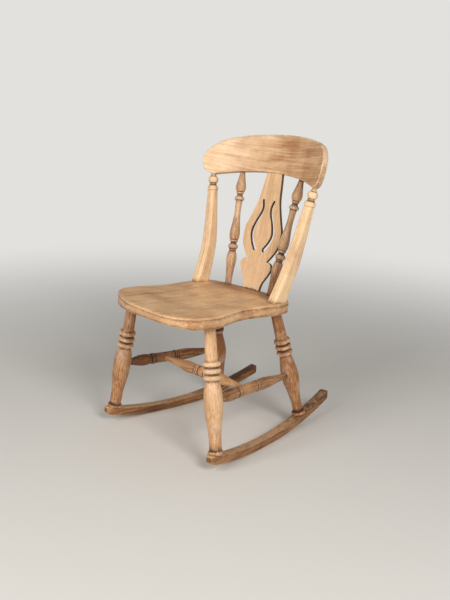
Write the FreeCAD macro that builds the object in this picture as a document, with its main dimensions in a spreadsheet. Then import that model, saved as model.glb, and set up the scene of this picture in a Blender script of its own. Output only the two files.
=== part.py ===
import FreeCAD, Part
import math
import os
import Sketcher
from FreeCAD import Placement, Rotation, Vector

# A nursing rocking chair in beech, with a back of turned spindles and a pierced
# splat under a broad bent crest rail. Lengths are millimetres and angles degrees.
# The chair faces the -Y side, and its origin is on the floor below its middle.
# Right is the +X side, as someone sees it who stands in front of the chair.
doc = FreeCAD.newDocument("RockingChair")
sheet = doc.addObject("Spreadsheet::Sheet", "Sizes")

DRIVING_SIZES = (
    # seat
    ("seat_height", 381.8),
    ("seat_tilt", 3.4),
    ("seat_thickness", 30.0),
    ("seat_front_reach", 300.8),
    ("seat_back_reach", 130.2),
    ("seat_lobe_half_width", 187.0),
    ("seat_waist_half_width", 158.5),
    ("seat_rear_half_width", 168.5),
    ("seat_corner_round", 16.0),
    ("seat_edge_round", 5.0),
    ("board_joint_offset", 92.0),
    ("dish_depth", 6.0),
    ("dish_half_width", 142.0),
    ("dish_half_length", 140.0),
    ("dish_centre_forward", 87.8),
    ("dish_curve_height", 60.0),
    ("front_bevel_depth", 8.0),
    ("front_bevel_run", 46.0),
    # legs
    ("front_leg_top_half_span", 149.0),
    ("front_leg_top_forward", 180.8),
    ("front_foot_forward", 204.3),
    ("front_leg_neck_radius", 16.0),
    ("front_leg_shank_length", 88.0),
    ("back_leg_top_half_span", 119.0),
    ("back_leg_top_back", 91.2),
    ("back_foot_back", 166.2),
    ("back_leg_neck_radius", 13.6),
    ("back_leg_shank_length", 84.0),
    ("leg_top_radius", 14.2),
    ("leg_shank_radius", 16.2),
    ("leg_ring_radius", 22.6),
    ("leg_ring_height", 17.2),
    ("leg_bulge_radius", 24.3),
    ("leg_collar_radius", 20.0),
    ("leg_collar_height", 11.0),
    ("leg_socket_depth", 21.0),
    ("foot_tenon_radius", 9.0),
    # rockers
    ("rocker_radius", 970.0),
    ("rocker_depth", 21.5),
    ("rocker_width", 27.0),
    ("rocker_contact_back", -4.0),
    ("rocker_half_span", 180.2),
    ("rocker_toe_in", 7.2),
    ("rocker_front_run", 230.8),
    ("rocker_back_run", 306.8),
    ("rocker_nose_round", 6.0),
    ("rocker_chamfer", 2.6),
    # stretchers
    ("side_stretcher_front_height", 177.0),
    ("side_stretcher_back_height", 158.0),
    ("side_stretcher_body_radius", 13.0),
    ("side_stretcher_bulb_radius", 14.6),
    ("side_stretcher_ring_radius", 14.2),
    ("side_stretcher_ring_height", 5.4),
    ("side_stretcher_end_radius", 8.4),
    ("side_stretcher_front_ring", 99.0),
    ("side_stretcher_back_ring", 177.0),
    ("side_socket_depth", 17.0),
    ("cross_stretcher_offset", 137.0),
    ("cross_stretcher_body_radius", 14.6),
    ("cross_stretcher_ring_radius", 15.2),
    ("cross_stretcher_ring_height", 6.6),
    ("cross_stretcher_bead_height", 24.0),
    ("cross_stretcher_end_radius", 6.6),
    ("cross_socket_depth", 9.0),
    # crest rail
    ("crest_lift", 281.9),
    ("crest_back", 182.6),
    ("crest_rake", 17.0),
    ("crest_bend_radius", 360.5),
    ("crest_thickness", 19.0),
    ("crest_half_width", 221.0),
    ("crest_arch_rise", 34.0),
    ("crest_rise", 142.0),
    ("crest_corner_inset", 33.0),
    ("crest_corner_round", 9.0),
    ("crest_edge_round", 4.0),
    # stiles
    ("stile_foot_half_span", 148.0),
    ("stile_foot_back", 61.2),
    ("stile_foot_width", 29.0),
    ("stile_foot_depth", 48.0),
    ("stile_knee_rise", 99.0),
    ("stile_knee_setback", 43.5),
    ("stile_knee_flare", 9.5),
    ("stile_knee_sweep", 44.0),
    ("stile_knee_width", 28.5),
    ("stile_knee_depth", 39.0),
    ("stile_top_width", 24.0),
    ("stile_chamfer", 5.0),
    ("stile_turning_length", 45.8),
    ("stile_disc_radius", 16.2),
    ("stile_disc_height", 12.0),
    ("stile_waist_radius", 9.6),
    ("stile_bulb_radius", 14.6),
    ("stile_bulb_height", 19.0),
    ("stile_neck_radius", 7.0),
    ("stile_neck_height", 5.3),
    ("stile_neck_depth", 18.0),
    ("stile_tenon_radius", 10.0),
    # spindles
    ("spindle_foot_half_span", 81.0),
    ("spindle_foot_back", 108.2),
    ("spindle_head_half_span", 109.5),
    ("spindle_foot_depth", 18.0),
    ("spindle_head_depth", 16.0),
    ("spindle_end_radius", 6.8),
    ("spindle_bulge_radius", 15.0),
    ("spindle_ring_radius", 14.4),
    ("spindle_ring_height", 8.0),
    ("spindle_swell_radius", 14.2),
    ("spindle_neck_radius", 8.6),
    ("spindle_waist_radius", 9.5),
    # splat
    ("splat_foot_back", 115.2),
    ("splat_thickness", 9.0),
    ("splat_foot_half_width", 30.5),
    ("splat_ear_half_width", 57.5),
    ("splat_ear_height", 84.0),
    ("splat_notch_half_width", 36.5),
    ("splat_belly_half_width", 68.5),
    ("splat_top_half_width", 27.0),
    ("splat_slit_top_width", 4.5),
    ("splat_slit_bottom_width", 9.5),
    ("splat_tenon_half_width", 25.0),
    ("splat_tenon_depth", 14.0),
    ("splat_head_depth", 16.0),
    # joints
    ("socket_clearance", 0.2),
    ("socket_end_gap", 0.6),
    ("wedge_thickness", 3.4),
    ("wedge_length", 13.0),
    ("turning_tolerance", 0.3),
    ("overrun", 60.0),
)

NAME_COLUMN = "A"
VALUE_COLUMN = "B"
for row, (alias, value) in enumerate(DRIVING_SIZES, start=1):
    sheet.set(NAME_COLUMN + str(row), alias)
    sheet.set(VALUE_COLUMN + str(row), str(value))
    sheet.setAlias(VALUE_COLUMN + str(row), alias)
doc.recompute()

X_AXIS = Vector(1, 0, 0)
Y_AXIS = Vector(0, 1, 0)
Z_AXIS = Vector(0, 0, 1)
FULL_TURN = 360
RIGHT_ANGLE = 90
EDGE_MATCH = 1e-3
SIDES = (("right", 1), ("left", -1))
ENDS = ("front", "back")
sub_parts = []


def size(alias):
    return float(getattr(sheet, alias))


def bind(item, prop, formula):
    """Tie a property to a formula in which each size is written as on the sheet."""
    item.setExpression(prop, formula)
    return item


def cell(alias):
    return "Sizes." + alias


def sub_part(item, label):
    """Keep an object as one finished piece of the chair."""
    item.Label = label
    sub_parts.append(item)
    return item


def feature(name, shape, placement):
    """An object for a shape worked out from the sheet, then put in its place."""
    item = doc.addObject("Part::Feature", name)
    item.Shape = shape
    item.Placement = placement
    return item


def extrusion(name, face, placement, direction, formula, symmetric=False):
    """The solid that a flat face sweeps in a direction of its own frame."""
    item = doc.addObject("Part::Extrusion", name)
    item.Base = feature(name + "_face", face, placement)
    item.DirMode = "Custom"
    item.Dir = placement.Rotation.multVec(direction)
    item.Solid = True
    item.Symmetric = symmetric
    return bind(item, "LengthFwd", formula)


def cylinder(name, start, direction, radius, height):
    """A round cutter whose radius and height are formulas on the sheet."""
    item = doc.addObject("Part::Cylinder", name)
    bind(item, "Radius", radius)
    bind(item, "Height", height)
    item.Placement = along(start, direction)
    return item


def box(name, corner, turn, length, width, height):
    """A square cutter with its low corner at a point of the chair's frame."""
    item = doc.addObject("Part::Box", name)
    bind(item, "Length", length)
    bind(item, "Width", width)
    bind(item, "Height", height)
    item.Placement = Placement(corner, turn)
    return item


def cut(name, base, cutters):
    """Base with every cutter taken out of it, one after another."""
    for left, cutter in zip(range(len(cutters) - 1, -1, -1), cutters):
        item = doc.addObject("Part::Cut", name + "_in_hand" if left else name)
        item.Base = base
        item.Tool = cutter
        base = item
    return base


def rounded(name, base, alias, wanted):
    """Base with the edges that are wanted rounded to a size of the sheet."""
    doc.recompute()
    radius = size(alias)
    item = doc.addObject("Part::Fillet", name)
    item.Base = base
    item.Edges = [(number, radius, radius) for number in edge_numbers(base.Shape, wanted)]
    return item


def edge_numbers(shape, wanted):
    return [number for number, edge in enumerate(shape.Edges, start=1) if wanted(edge)]


def along(start, direction):
    """The placement that stands a piece on start, with its +Z along direction."""
    return Placement(start, Rotation(Z_AXIS, direction))


def square_on(start, direction):
    """Like along, but the piece's +X stays as near as it can to the chair's +X."""
    upward = Vector(direction).normalize()
    across = Vector(X_AXIS - upward * X_AXIS.dot(upward)).normalize()
    return Placement(start, Rotation(across, upward.cross(across), upward, "ZXY"))


def spline(points):
    curve = Part.BSplineCurve()
    curve.interpolate(points)
    return curve


def arcs(points):
    """A fair curve through the points, as a turner's run of arcs."""
    return [arc.toShape() for arc in spline(points).toBiArcs(size("turning_tolerance"))]


def mirrored(shape):
    return shape.mirror(Vector(), X_AXIS)


def turned(rows):
    """A turned solid on +Z. Rows are (kind, station, radius) from the low end:
    line runs straight there, curve is faired through its neighbours, and bead
    is a round moulding that stands out to the radius and comes back."""
    here = Vector(rows[0][2], 0, rows[0][1])
    edges = [Part.LineSegment(Vector(0, 0, here.z), here).toShape()]
    faired = []
    for kind, station, radius in rows[1:]:
        if kind == "curve":
            faired.append(Vector(radius, 0, station))
            continue
        if faired:
            edges += arcs([here] + faired)
            here = faired[-1]
            faired = []
        if kind == "bead":
            there = Vector(here.x, 0, station)
            crown = Vector(radius, 0, (here.z + station) / 2)
            edges.append(Part.Arc(here, crown, there).toShape())
        else:
            there = Vector(radius, 0, station)
            edges.append(Part.LineSegment(here, there).toShape())
        here = there
    tip = Vector(0, 0, here.z)
    edges.append(Part.LineSegment(here, tip).toShape())
    edges.append(Part.LineSegment(tip, Vector(0, 0, rows[0][1])).toShape())
    return Part.Face(Part.Wire(edges)).revolve(Vector(), Z_AXIS, FULL_TURN)


WEDGE_TIP_SHARE = 0.15
WEDGE_BREADTH_SHARE = 0.85


def tenon_wedge(name, root, direction, tenon_radius, tenon_length):
    """The hardwood wedge driven into the end of a through tenon. The tenon's own
    wood is cut with it, so the two lie face to face. The kerf runs across."""
    item = doc.addObject("Part::Wedge", name)
    half_formula = "Sizes.wedge_thickness / 2"
    tip_formula = half_formula + " * " + str(WEDGE_TIP_SHARE)
    breadth = cell(tenon_radius) + " * " + str(WEDGE_BREADTH_SHARE)
    for prop, formula in (
        ("Xmin", "-" + half_formula), ("Xmax", half_formula),
        ("X2min", "-" + tip_formula), ("X2max", tip_formula),
        ("Zmin", "-" + breadth), ("Zmax", breadth),
        ("Z2min", "-" + breadth), ("Z2max", breadth),
        ("Ymax", cell("wedge_length")),
    ):
        bind(item, prop, formula)
    frame = square_on(root, direction).Rotation
    across, behind, upward = (frame.multVec(axis) for axis in (X_AXIS, Y_AXIS, Z_AXIS))
    low_end = root - upward * tenon_length
    item.Placement = Placement(low_end, Rotation(behind, upward, across, "YXZ"))
    return sub_part(item, name)


# The seat's own frame lies on its top, tilted so that the sitter leans back.
seat_place = Placement(Vector(0, 0, size("seat_height")), Rotation(X_AXIS, -size("seat_tilt")))


def on_seat(across, back, above=0.0):
    """A point given in the seat's own frame: across, back and above its top."""
    return seat_place.multVec(Vector(across, back, above))


# The rockers: curved runners of flat section, sawn to one arc and toed in to the
# back. Their ends are rounded, and the arrises of their upper face are taken off.
def rocker_point(side, run, above=0.0):
    """A point over the rocker's middle line, run back from where it touches."""
    toe = math.radians(size("rocker_toe_in"))
    return Vector(
        side * (size("rocker_half_span") - run * math.sin(toe)),
        size("rocker_contact_back") + run * math.cos(toe),
        above,
    )


def rocker_frame(side):
    turn = Rotation(Z_AXIS, RIGHT_ANGLE + side * size("rocker_toe_in"))
    return Placement(rocker_point(side, 0), turn)


def arc_end(radius, run):
    """A point of an arc about the rocker's centre: its run, and its height."""
    return Vector(run, size("rocker_radius") - math.sqrt(radius ** 2 - run ** 2), 0)


def foot_point(side, back):
    """Where a leg stands on the middle of a rocker's upper face."""
    run = (back - size("rocker_contact_back")) / math.cos(math.radians(size("rocker_toe_in")))
    top = arc_end(size("rocker_radius") - size("rocker_depth"), run)
    return rocker_point(side, run, top.y)


def origin_plane(body, role):
    return [item for item in body.Origin.OriginFeatures if item.Role == role][0]


def rocker_sketch(body, name):
    """The rocker's side view. In its rules a curve's start, end and centre are
    1, 2 and 3, and -1 and -2 are the sketch's origin and its upright axis."""
    sketch = body.newObject("Sketcher::SketchObject", name)
    sketch.AttachmentSupport = [(origin_plane(body, "XZ_Plane"), "")]
    sketch.MapMode = "FlatFace"
    outer = size("rocker_radius")
    inner = outer - size("rocker_depth")
    front = size("rocker_front_run")
    back = size("rocker_back_run")
    corners = [arc_end(outer, -front), arc_end(outer, back), arc_end(inner, back), arc_end(inner, -front)]
    crown = Vector(0, size("rocker_depth"), 0)
    sole = sketch.addGeometry(Part.Arc(corners[0], Vector(), corners[1]), False)
    heel = sketch.addGeometry(Part.LineSegment(corners[1], corners[2]), False)
    top = sketch.addGeometry(Part.Arc(corners[3], crown, corners[2]), False)
    nose = sketch.addGeometry(Part.LineSegment(corners[3], corners[0]), False)
    for rule in (
        ("Coincident", sole, 2, heel, 1),
        ("Coincident", heel, 2, top, 2),
        ("Coincident", top, 1, nose, 1),
        ("Coincident", nose, 2, sole, 1),
        ("Coincident", sole, 3, top, 3),
        ("PointOnObject", sole, 3, -2),
        ("Vertical", nose),
        ("Vertical", heel),
    ):
        sketch.addConstraint(Sketcher.Constraint(*rule))
    for rule, formula in (
        (("DistanceY", -1, 1, sole, 3, outer), cell("rocker_radius")),
        (("Radius", sole, outer), cell("rocker_radius")),
        (("Radius", top, inner), "Sizes.rocker_radius - Sizes.rocker_depth"),
        (("DistanceX", sole, 1, -1, 1, front), cell("rocker_front_run")),
        (("DistanceX", -1, 1, sole, 2, back), cell("rocker_back_run")),
    ):
        index = sketch.addConstraint(Sketcher.Constraint(*rule))
        bind(sketch, "Constraints[" + str(index) + "]", formula)
    return sketch


def rocker_blank(name, side):
    body = doc.addObject("PartDesign::Body", name)
    pad = body.newObject("PartDesign::Pad", name + "_plank")
    pad.Profile = rocker_sketch(body, name + "_outline")
    pad.Midplane = True
    bind(pad, "Length", cell("rocker_width"))
    doc.recompute()
    width = size("rocker_width")
    inner = size("rocker_radius") - size("rocker_depth")

    def across_end(edge):
        return abs(edge.Length - width) < EDGE_MATCH

    def along_top(edge):
        return hasattr(edge.Curve, "Radius") and abs(edge.Curve.Radius - inner) < EDGE_MATCH

    nose = body.newObject("PartDesign::Fillet", name + "_rounded_ends")
    nose.Base = (pad, ["Edge" + str(number) for number in edge_numbers(pad.Shape, across_end)])
    bind(nose, "Radius", cell("rocker_nose_round"))
    doc.recompute()
    arris = body.newObject("PartDesign::Chamfer", name + "_eased_arrises")
    arris.Base = (nose, ["Edge" + str(number) for number in edge_numbers(nose.Shape, along_top)])
    bind(arris, "Size", cell("rocker_chamfer"))
    body.Placement = rocker_frame(side)
    return body


def rocker_bed(side):
    """The space that a rocker fills below a foot, wider than the foot."""
    near = size("rocker_radius") - size("rocker_depth") - size("socket_clearance")
    far = near + size("overrun")
    reach = size("rocker_back_run")
    upper = [arc_end(near, run) for run in (-reach, 0, reach)]
    lower = [arc_end(far, run) for run in (reach, 0, -reach)]
    edges = [
        Part.Arc(*upper).toShape(),
        Part.LineSegment(upper[2], lower[0]).toShape(),
        Part.Arc(*lower).toShape(),
        Part.LineSegment(lower[2], upper[0]).toShape(),
    ]
    solid = Part.Face(Part.Wire(edges)).extrude(Z_AXIS * size("overrun"))
    solid.translate(-Z_AXIS * size("overrun") / 2)
    solid.rotate(Vector(), X_AXIS, RIGHT_ANGLE)
    solid.Placement = rocker_frame(side).multiply(solid.Placement)
    return solid


# The legs: turned with three rings over a long belly and a collar at the foot.
# The plain top drives into the seat, and a wedged tenon goes through the rocker.
LEG_BELLY_SHARES = {
    "front": ((0.05, 0.80), (0.13, 0.93), (0.25, 1.0), (0.40, 0.97), (0.53, 0.87), (0.66, 0.75)),
    "back": ((0.06, 0.76), (0.16, 0.87), (0.33, 1.0), (0.46, 0.95), (0.60, 0.77), (0.74, 0.63)),
}
RING_GROOVE_SHARE = 0.84
RING_SHOULDER_SHARE = 0.10
LEG_PAD_SHARE = 0.84
LEG_PAD_DROP_SHARE = 0.40
FOOT_TENON_SHARE = 0.86


def leg_line(end, side):
    """A leg's foot on the rocker, and its head at the underside of the seat."""
    across = side * size(end + "_leg_top_half_span")
    if end == "front":
        foot = foot_point(side, -size("front_foot_forward"))
        return foot, on_seat(across, -size("front_leg_top_forward"), -size("seat_thickness"))
    foot = foot_point(side, size("back_foot_back"))
    return foot, on_seat(across, size("back_leg_top_back"), -size("seat_thickness"))


def leg_axis(end, side):
    foot, head = leg_line(end, side)
    return Vector(head - foot).normalize()


def leg_point(end, side, height):
    """The point of a leg's axis at a height over the floor."""
    foot, head = leg_line(end, side)
    rise = head - foot
    return foot + rise * ((height - foot.z) / rise.z)


def leg_turning(end, side):
    foot, head = leg_line(end, side)
    length = (head - foot).Length
    ring = size("leg_ring_height")
    groove = size("leg_ring_radius") * RING_GROOVE_SHARE
    shoulder = ring * RING_SHOULDER_SHARE
    ring_top = length - size(end + "_leg_shank_length")
    ring_low = ring_top - 3 * ring
    belly_top = ring_low - shoulder
    collar = size("leg_collar_height")
    neck = size(end + "_leg_neck_radius")
    pad = size("leg_collar_radius") * LEG_PAD_SHARE
    belly = belly_top - collar
    rows = [
        ("line", -size("leg_collar_radius") * LEG_PAD_DROP_SHARE, pad),
        ("line", 0, pad),
        ("bead", collar, size("leg_collar_radius")),
        ("line", collar, neck),
        ("curve", collar + belly * (1 - LEG_BELLY_SHARES[end][-1][0]) / 2, neck),
    ]
    for down_share, girth_share in reversed(LEG_BELLY_SHARES[end]):
        rows.append(("curve", belly_top - belly * down_share, girth_share * size("leg_bulge_radius")))
    rows.append(("curve", belly_top, size("leg_shank_radius")))
    rows.append(("line", ring_low, groove))
    for count in range(3):
        rows.append(("bead", ring_low + (count + 1) * ring, size("leg_ring_radius")))
    rows.append(("line", ring_top, size("leg_shank_radius")))
    rows.append(("curve", length - size("leg_top_radius"), size("leg_top_radius")))
    rows.append(("line", length + size("leg_socket_depth"), size("leg_top_radius")))
    place = along(foot, head - foot)
    bed = rocker_bed(side)
    bed.Placement = place.inverse().multiply(bed.Placement)
    tenon_length = size("rocker_depth") * FOOT_TENON_SHARE
    tenon = Part.makeCylinder(
        size("foot_tenon_radius"), tenon_length + collar, Vector(0, 0, -tenon_length), Z_AXIS
    )
    name = end + "_leg_turning_" + ("right" if side > 0 else "left")
    return feature(name, turned(rows).cut(bed).fuse(tenon), place)


# The side stretchers: turned with a bulb near the front and two pairs of rings,
# and socketed in the bellies of the legs at both ends.
BULB_SHARES = ((0.38, 0.70), (0.54, 0.93), (0.66, 1.0), (0.78, 0.92))
TAIL_SHARES = ((0.16, 0.98), (0.40, 0.90), (0.68, 0.76))
BULB_NECK_SHARE = 0.91
RING_COVE_SHARE = 1.7
RING_STEP_SHARE = 1.4


def side_stretcher_line(side):
    front = leg_point("front", side, size("side_stretcher_front_height"))
    back = leg_point("back", side, size("side_stretcher_back_height"))
    return front, back


def ring_pair(middle, height, groove, crown):
    return [
        ("line", middle - height, groove),
        ("bead", middle, crown),
        ("bead", middle + height, crown),
    ]


def side_stretcher_turning(side):
    start, finish = side_stretcher_line(side)
    length = (finish - start).Length
    first = size("side_stretcher_front_ring")
    second = size("side_stretcher_back_ring")
    crown = size("side_stretcher_ring_radius")
    body = size("side_stretcher_body_radius")
    height = size("side_stretcher_ring_height")
    end_radius = size("side_stretcher_end_radius")
    groove = crown * RING_GROOVE_SHARE
    seat = size("leg_bulge_radius")
    buried = seat - size("side_socket_depth")
    tail = length - seat - second
    rows = [("line", buried, end_radius), ("line", seat, end_radius)]
    for run_share, girth_share in BULB_SHARES:
        rows.append(("curve", first * run_share, size("side_stretcher_bulb_radius") * girth_share))
    rows.append(("curve", first - RING_COVE_SHARE * height, groove * BULB_NECK_SHARE))
    rows += ring_pair(first, height, groove, crown)
    rows.append(("line", first + RING_STEP_SHARE * height, body))
    rows.append(("line", second - RING_STEP_SHARE * height, body))
    rows += ring_pair(second, height, groove, crown)
    rows.append(("line", second + RING_STEP_SHARE * height, body))
    for run_share, girth_share in TAIL_SHARES:
        rows.append(("curve", second + tail * run_share, body * girth_share))
    rows.append(("curve", length - seat, end_radius))
    rows.append(("line", length - buried, end_radius))
    name = "side_stretcher_turning_" + ("right" if side > 0 else "left")
    return feature(name, turned(rows), along(start, finish - start))


def side_socket(name, end, side):
    """The blind hole in a leg for the end of its side stretcher."""
    front, back = side_stretcher_line(side)
    start, other = (front, back) if end == "front" else (back, front)
    toward = Vector(other - start).normalize()
    buried = size("leg_bulge_radius") - size("side_socket_depth") - size("socket_end_gap")
    return cylinder(
        name,
        start + toward * buried,
        toward,
        "Sizes.side_stretcher_end_radius + Sizes.socket_clearance",
        "Sizes.leg_bulge_radius + Sizes.side_socket_depth",
    )


# The cross stretcher: turned with a long bead in the middle between two pairs of
# rings, tapering both ways to the sockets in the side stretchers.
CROSS_BODY_SHARES = ((0.16, 0.60), (0.42, 0.80), (0.70, 0.94), (0.90, 1.0), (0.97, 0.97))


def cross_stretcher_end(side):
    start, finish = side_stretcher_line(side)
    return start + Vector(finish - start).normalize() * size("cross_stretcher_offset")


def cross_stretcher():
    low = cross_stretcher_end(-1)
    high = cross_stretcher_end(1)
    middle = (high - low).Length / 2
    seat = size("side_stretcher_body_radius")
    buried = seat - size("cross_socket_depth")
    crown = size("cross_stretcher_ring_radius")
    ring = size("cross_stretcher_ring_height")
    end_radius = size("cross_stretcher_end_radius")
    bead = size("cross_stretcher_bead_height") / 2
    group = bead + 2 * ring
    taper = middle - group - seat
    half = [
        (seat + run_share * taper, girth_share * size("cross_stretcher_body_radius"))
        for run_share, girth_share in CROSS_BODY_SHARES
    ]
    rows = [("line", buried, end_radius), ("line", seat, end_radius)]
    rows += [("curve", run, girth) for run, girth in half]
    rows.append(("line", middle - group, crown * RING_GROOVE_SHARE))
    for station in (-bead - ring, -bead, bead, bead + ring, group):
        rows.append(("bead", middle + station, crown))
    run, girth = half[-1]
    rows.append(("line", 2 * middle - run, girth))
    rows += [("curve", 2 * middle - run, girth) for run, girth in reversed(half[:-1])]
    rows.append(("curve", 2 * middle - seat, end_radius))
    rows.append(("line", 2 * middle - buried, end_radius))
    return feature("cross_stretcher", turned(rows), along(low, high - low))


def cross_socket(name, side):
    """The blind hole in a side stretcher for the end of the cross stretcher."""
    end = cross_stretcher_end(side)
    inward = Vector(cross_stretcher_end(-side) - end).normalize()
    buried = size("side_stretcher_body_radius") - size("cross_socket_depth")
    return cylinder(
        name,
        end + inward * (buried - size("socket_end_gap")),
        inward,
        "Sizes.cross_stretcher_end_radius + Sizes.socket_clearance",
        "Sizes.side_stretcher_body_radius + Sizes.cross_socket_depth",
    )


# The crest rail: a broad board bent about the sitter's back, arched below, with
# rounded edges and round shoulders, of which the right one is the fuller. Its
# frame is upright, and then raked back.
crest_place = Placement(
    Vector(0, size("crest_back"), size("seat_height") + size("crest_lift")),
    Rotation(X_AXIS, -size("crest_rake")),
)
CREST_SHOULDER_SHARES = {
    1: (
        (0.955, 0.075), (0.988, 0.19), (1.0, 0.36), (0.965, 0.57),
        (0.86, 0.765), (0.62, 0.91), (0.32, 0.985),
    ),
    -1: (
        (0.945, 0.068), (0.977, 0.18), (0.985, 0.31), (0.937, 0.485),
        (0.82, 0.69), (0.58, 0.86), (0.28, 0.96),
    ),
}


def crest_arch(across):
    """Height of the rail's arched lower edge in its own frame."""
    corner = size("crest_half_width") - size("crest_corner_inset")
    rise = size("crest_arch_rise")
    radius = (corner ** 2 + rise ** 2) / (2 * rise)
    return rise - radius + math.sqrt(radius ** 2 - across ** 2)


def crest_depth(across, setback):
    """How far back a layer of the bent rail lies, setback behind its front."""
    radius = size("crest_bend_radius") + setback
    return math.sqrt(radius ** 2 - across ** 2) - size("crest_bend_radius")


def crest_underside(across, setback):
    """A point of the arched underside, in the chair's frame."""
    return crest_place.multVec(Vector(across, crest_depth(across, setback), crest_arch(across)))


def crest_plan():
    wide = size("crest_half_width") + size("crest_thickness")
    front = [Vector(across, crest_depth(across, 0), 0) for across in (-wide, 0, wide)]
    rear = [
        Vector(across, crest_depth(across, size("crest_thickness")), 0) for across in (wide, 0, -wide)
    ]
    edges = [
        Part.Arc(*front).toShape(),
        Part.LineSegment(front[2], rear[0]).toShape(),
        Part.Arc(*rear).toShape(),
        Part.LineSegment(rear[2], front[0]).toShape(),
    ]
    return Part.Face(Part.Wire(edges))


def crest_elevation():
    half = size("crest_half_width")
    rise = size("crest_rise")
    right, left = (
        [Vector(side * (half - size("crest_corner_inset")), 0, 0)]
        + [Vector(side * half * across, 0, rise * up) for across, up in CREST_SHOULDER_SHARES[side]]
        for _, side in SIDES
    )
    top = spline(right + [Vector(0, 0, rise)] + left[::-1])
    arch = Part.Arc(left[0], Vector(0, 0, size("crest_arch_rise")), right[0])
    return Part.Face(Part.Wire([top.toShape(), arch.toShape()]))


def crest_blank():
    bent = extrusion(
        "crest_bent_plank", crest_plan(), crest_place, Z_AXIS, "Sizes.crest_rise + Sizes.overrun"
    )
    reach = "4 * Sizes.overrun"
    outline = extrusion(
        "crest_outline", crest_elevation(), crest_place, Y_AXIS, reach, symmetric=True
    )

    def at_corner(edge):
        return abs(edge.Length - 4 * size("overrun")) < EDGE_MATCH

    def along_outline(edge):
        return edge.Length > 2 * size("crest_thickness")

    sawn = doc.addObject("Part::Common", "crest_sawn")
    sawn.Base = bent
    sawn.Tool = rounded("crest_outline_eased", outline, "crest_corner_round", at_corner)
    return rounded("crest_rounded", sawn, "crest_edge_round", along_outline)


# The stiles: sawn with a knee, deepest at the foot and tapered upwards, their arrises
# taken off, then turned at the top with a disc, a bulb and the crest rail's neck.
STILE_TENON_SHARE = 0.84
STILE_TAPER_SHARE = 0.3
STILE_UPPER_SHARES = (0.45, 1.0)
TURNING_START_SHARE = 0.97


def stile_line(side):
    """Foot on the seat, knee, and the middle of the crest rail's underside."""
    foot = on_seat(side * size("stile_foot_half_span"), size("stile_foot_back"))
    knee = foot + Vector(
        side * size("stile_knee_flare"), size("stile_knee_setback"), size("stile_knee_rise")
    )
    reach = size("crest_half_width") - size("crest_corner_inset")
    return foot, knee, crest_underside(side * reach, size("crest_thickness") / 2)


def stile_axes(side):
    foot, knee, head = stile_line(side)
    return Vector(knee - foot).normalize(), Vector(head - knee).normalize()


def octagon(place, width, depth):
    """A section of the post, whose chamfer follows its width."""
    wide = width / 2
    deep = depth / 2
    off = size("stile_chamfer") * width / size("stile_foot_width")
    corners = [
        (wide, off - deep), (wide, deep - off), (wide - off, deep), (off - wide, deep),
        (-wide, deep - off), (-wide, off - deep), (off - wide, -deep), (wide - off, -deep),
    ]
    corners.append(corners[0])
    return Part.makePolygon([place.multVec(Vector(x, y, 0)) for x, y in corners])


def stile_turning(side):
    foot, knee, head = stile_line(side)
    lower, upper = stile_axes(side)
    sweep = size("stile_knee_sweep")
    foot_width = size("stile_foot_width")
    foot_depth = size("stile_foot_depth")
    knee_width = size("stile_knee_width")
    knee_depth = size("stile_knee_depth")
    top_width = size("stile_top_width")
    top = head - upper * size("stile_turning_length")
    below = knee - lower * sweep
    above = knee + upper * sweep
    bend = knee / 2 + (below + above) / 4
    below_depth = knee_depth + (foot_depth - knee_depth) * STILE_TAPER_SHARE
    above_depth = knee_depth + (top_width - knee_depth) * STILE_TAPER_SHARE
    stations = [
        (foot - lower * foot_width / 2, lower, foot_width, foot_depth),
        (below, lower, knee_width, below_depth),
        (bend, lower + upper, knee_width, knee_depth),
        (above, upper, knee_width, above_depth),
    ]
    for share in STILE_UPPER_SHARES:
        width = knee_width + (top_width - knee_width) * share
        depth = above_depth + (top_width - above_depth) * share
        stations.append((above + (top - above) * share, upper, width, depth))
    home = along(foot, lower)
    sections = [
        octagon(home.inverse().multiply(square_on(point, axis)), width, depth)
        for point, axis, width, depth in stations
    ]
    shaft = Part.makeLoft(sections, True, False)
    reach = size("overrun")
    below_seat = Part.makeBox(
        2 * reach, 2 * reach, 2 * reach, Vector(-reach, -reach, size("socket_clearance") - 2 * reach)
    )
    below_seat.Placement = home.inverse().multiply(Placement(foot, seat_place.Rotation))
    bulb_end = size("stile_turning_length") - size("stile_neck_height")
    bulb_start = bulb_end - size("stile_bulb_height")
    neck_end = size("stile_turning_length") + size("stile_neck_depth")
    turning = turned([
        ("line", -top_width / 4, top_width / 2 * TURNING_START_SHARE),
        ("line", 0, top_width / 2 * TURNING_START_SHARE),
        ("bead", size("stile_disc_height"), size("stile_disc_radius")),
        ("line", size("stile_disc_height"), size("stile_waist_radius")),
        ("line", bulb_start, size("stile_waist_radius")),
        ("bead", bulb_end, size("stile_bulb_radius")),
        ("line", bulb_end, size("stile_neck_radius")),
        ("line", neck_end, size("stile_neck_radius")),
    ])
    turning.Placement = home.inverse().multiply(along(top, upper))
    tenon_length = size("seat_thickness") * STILE_TENON_SHARE
    tenon = Part.makeCylinder(
        size("stile_tenon_radius"), tenon_length + foot_width / 2, Vector(0, 0, -tenon_length), Z_AXIS
    )
    name = "stile_turning_" + ("right" if side > 0 else "left")
    return feature(name, shaft.cut(below_seat).fuse([turning, tenon]), home)


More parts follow.
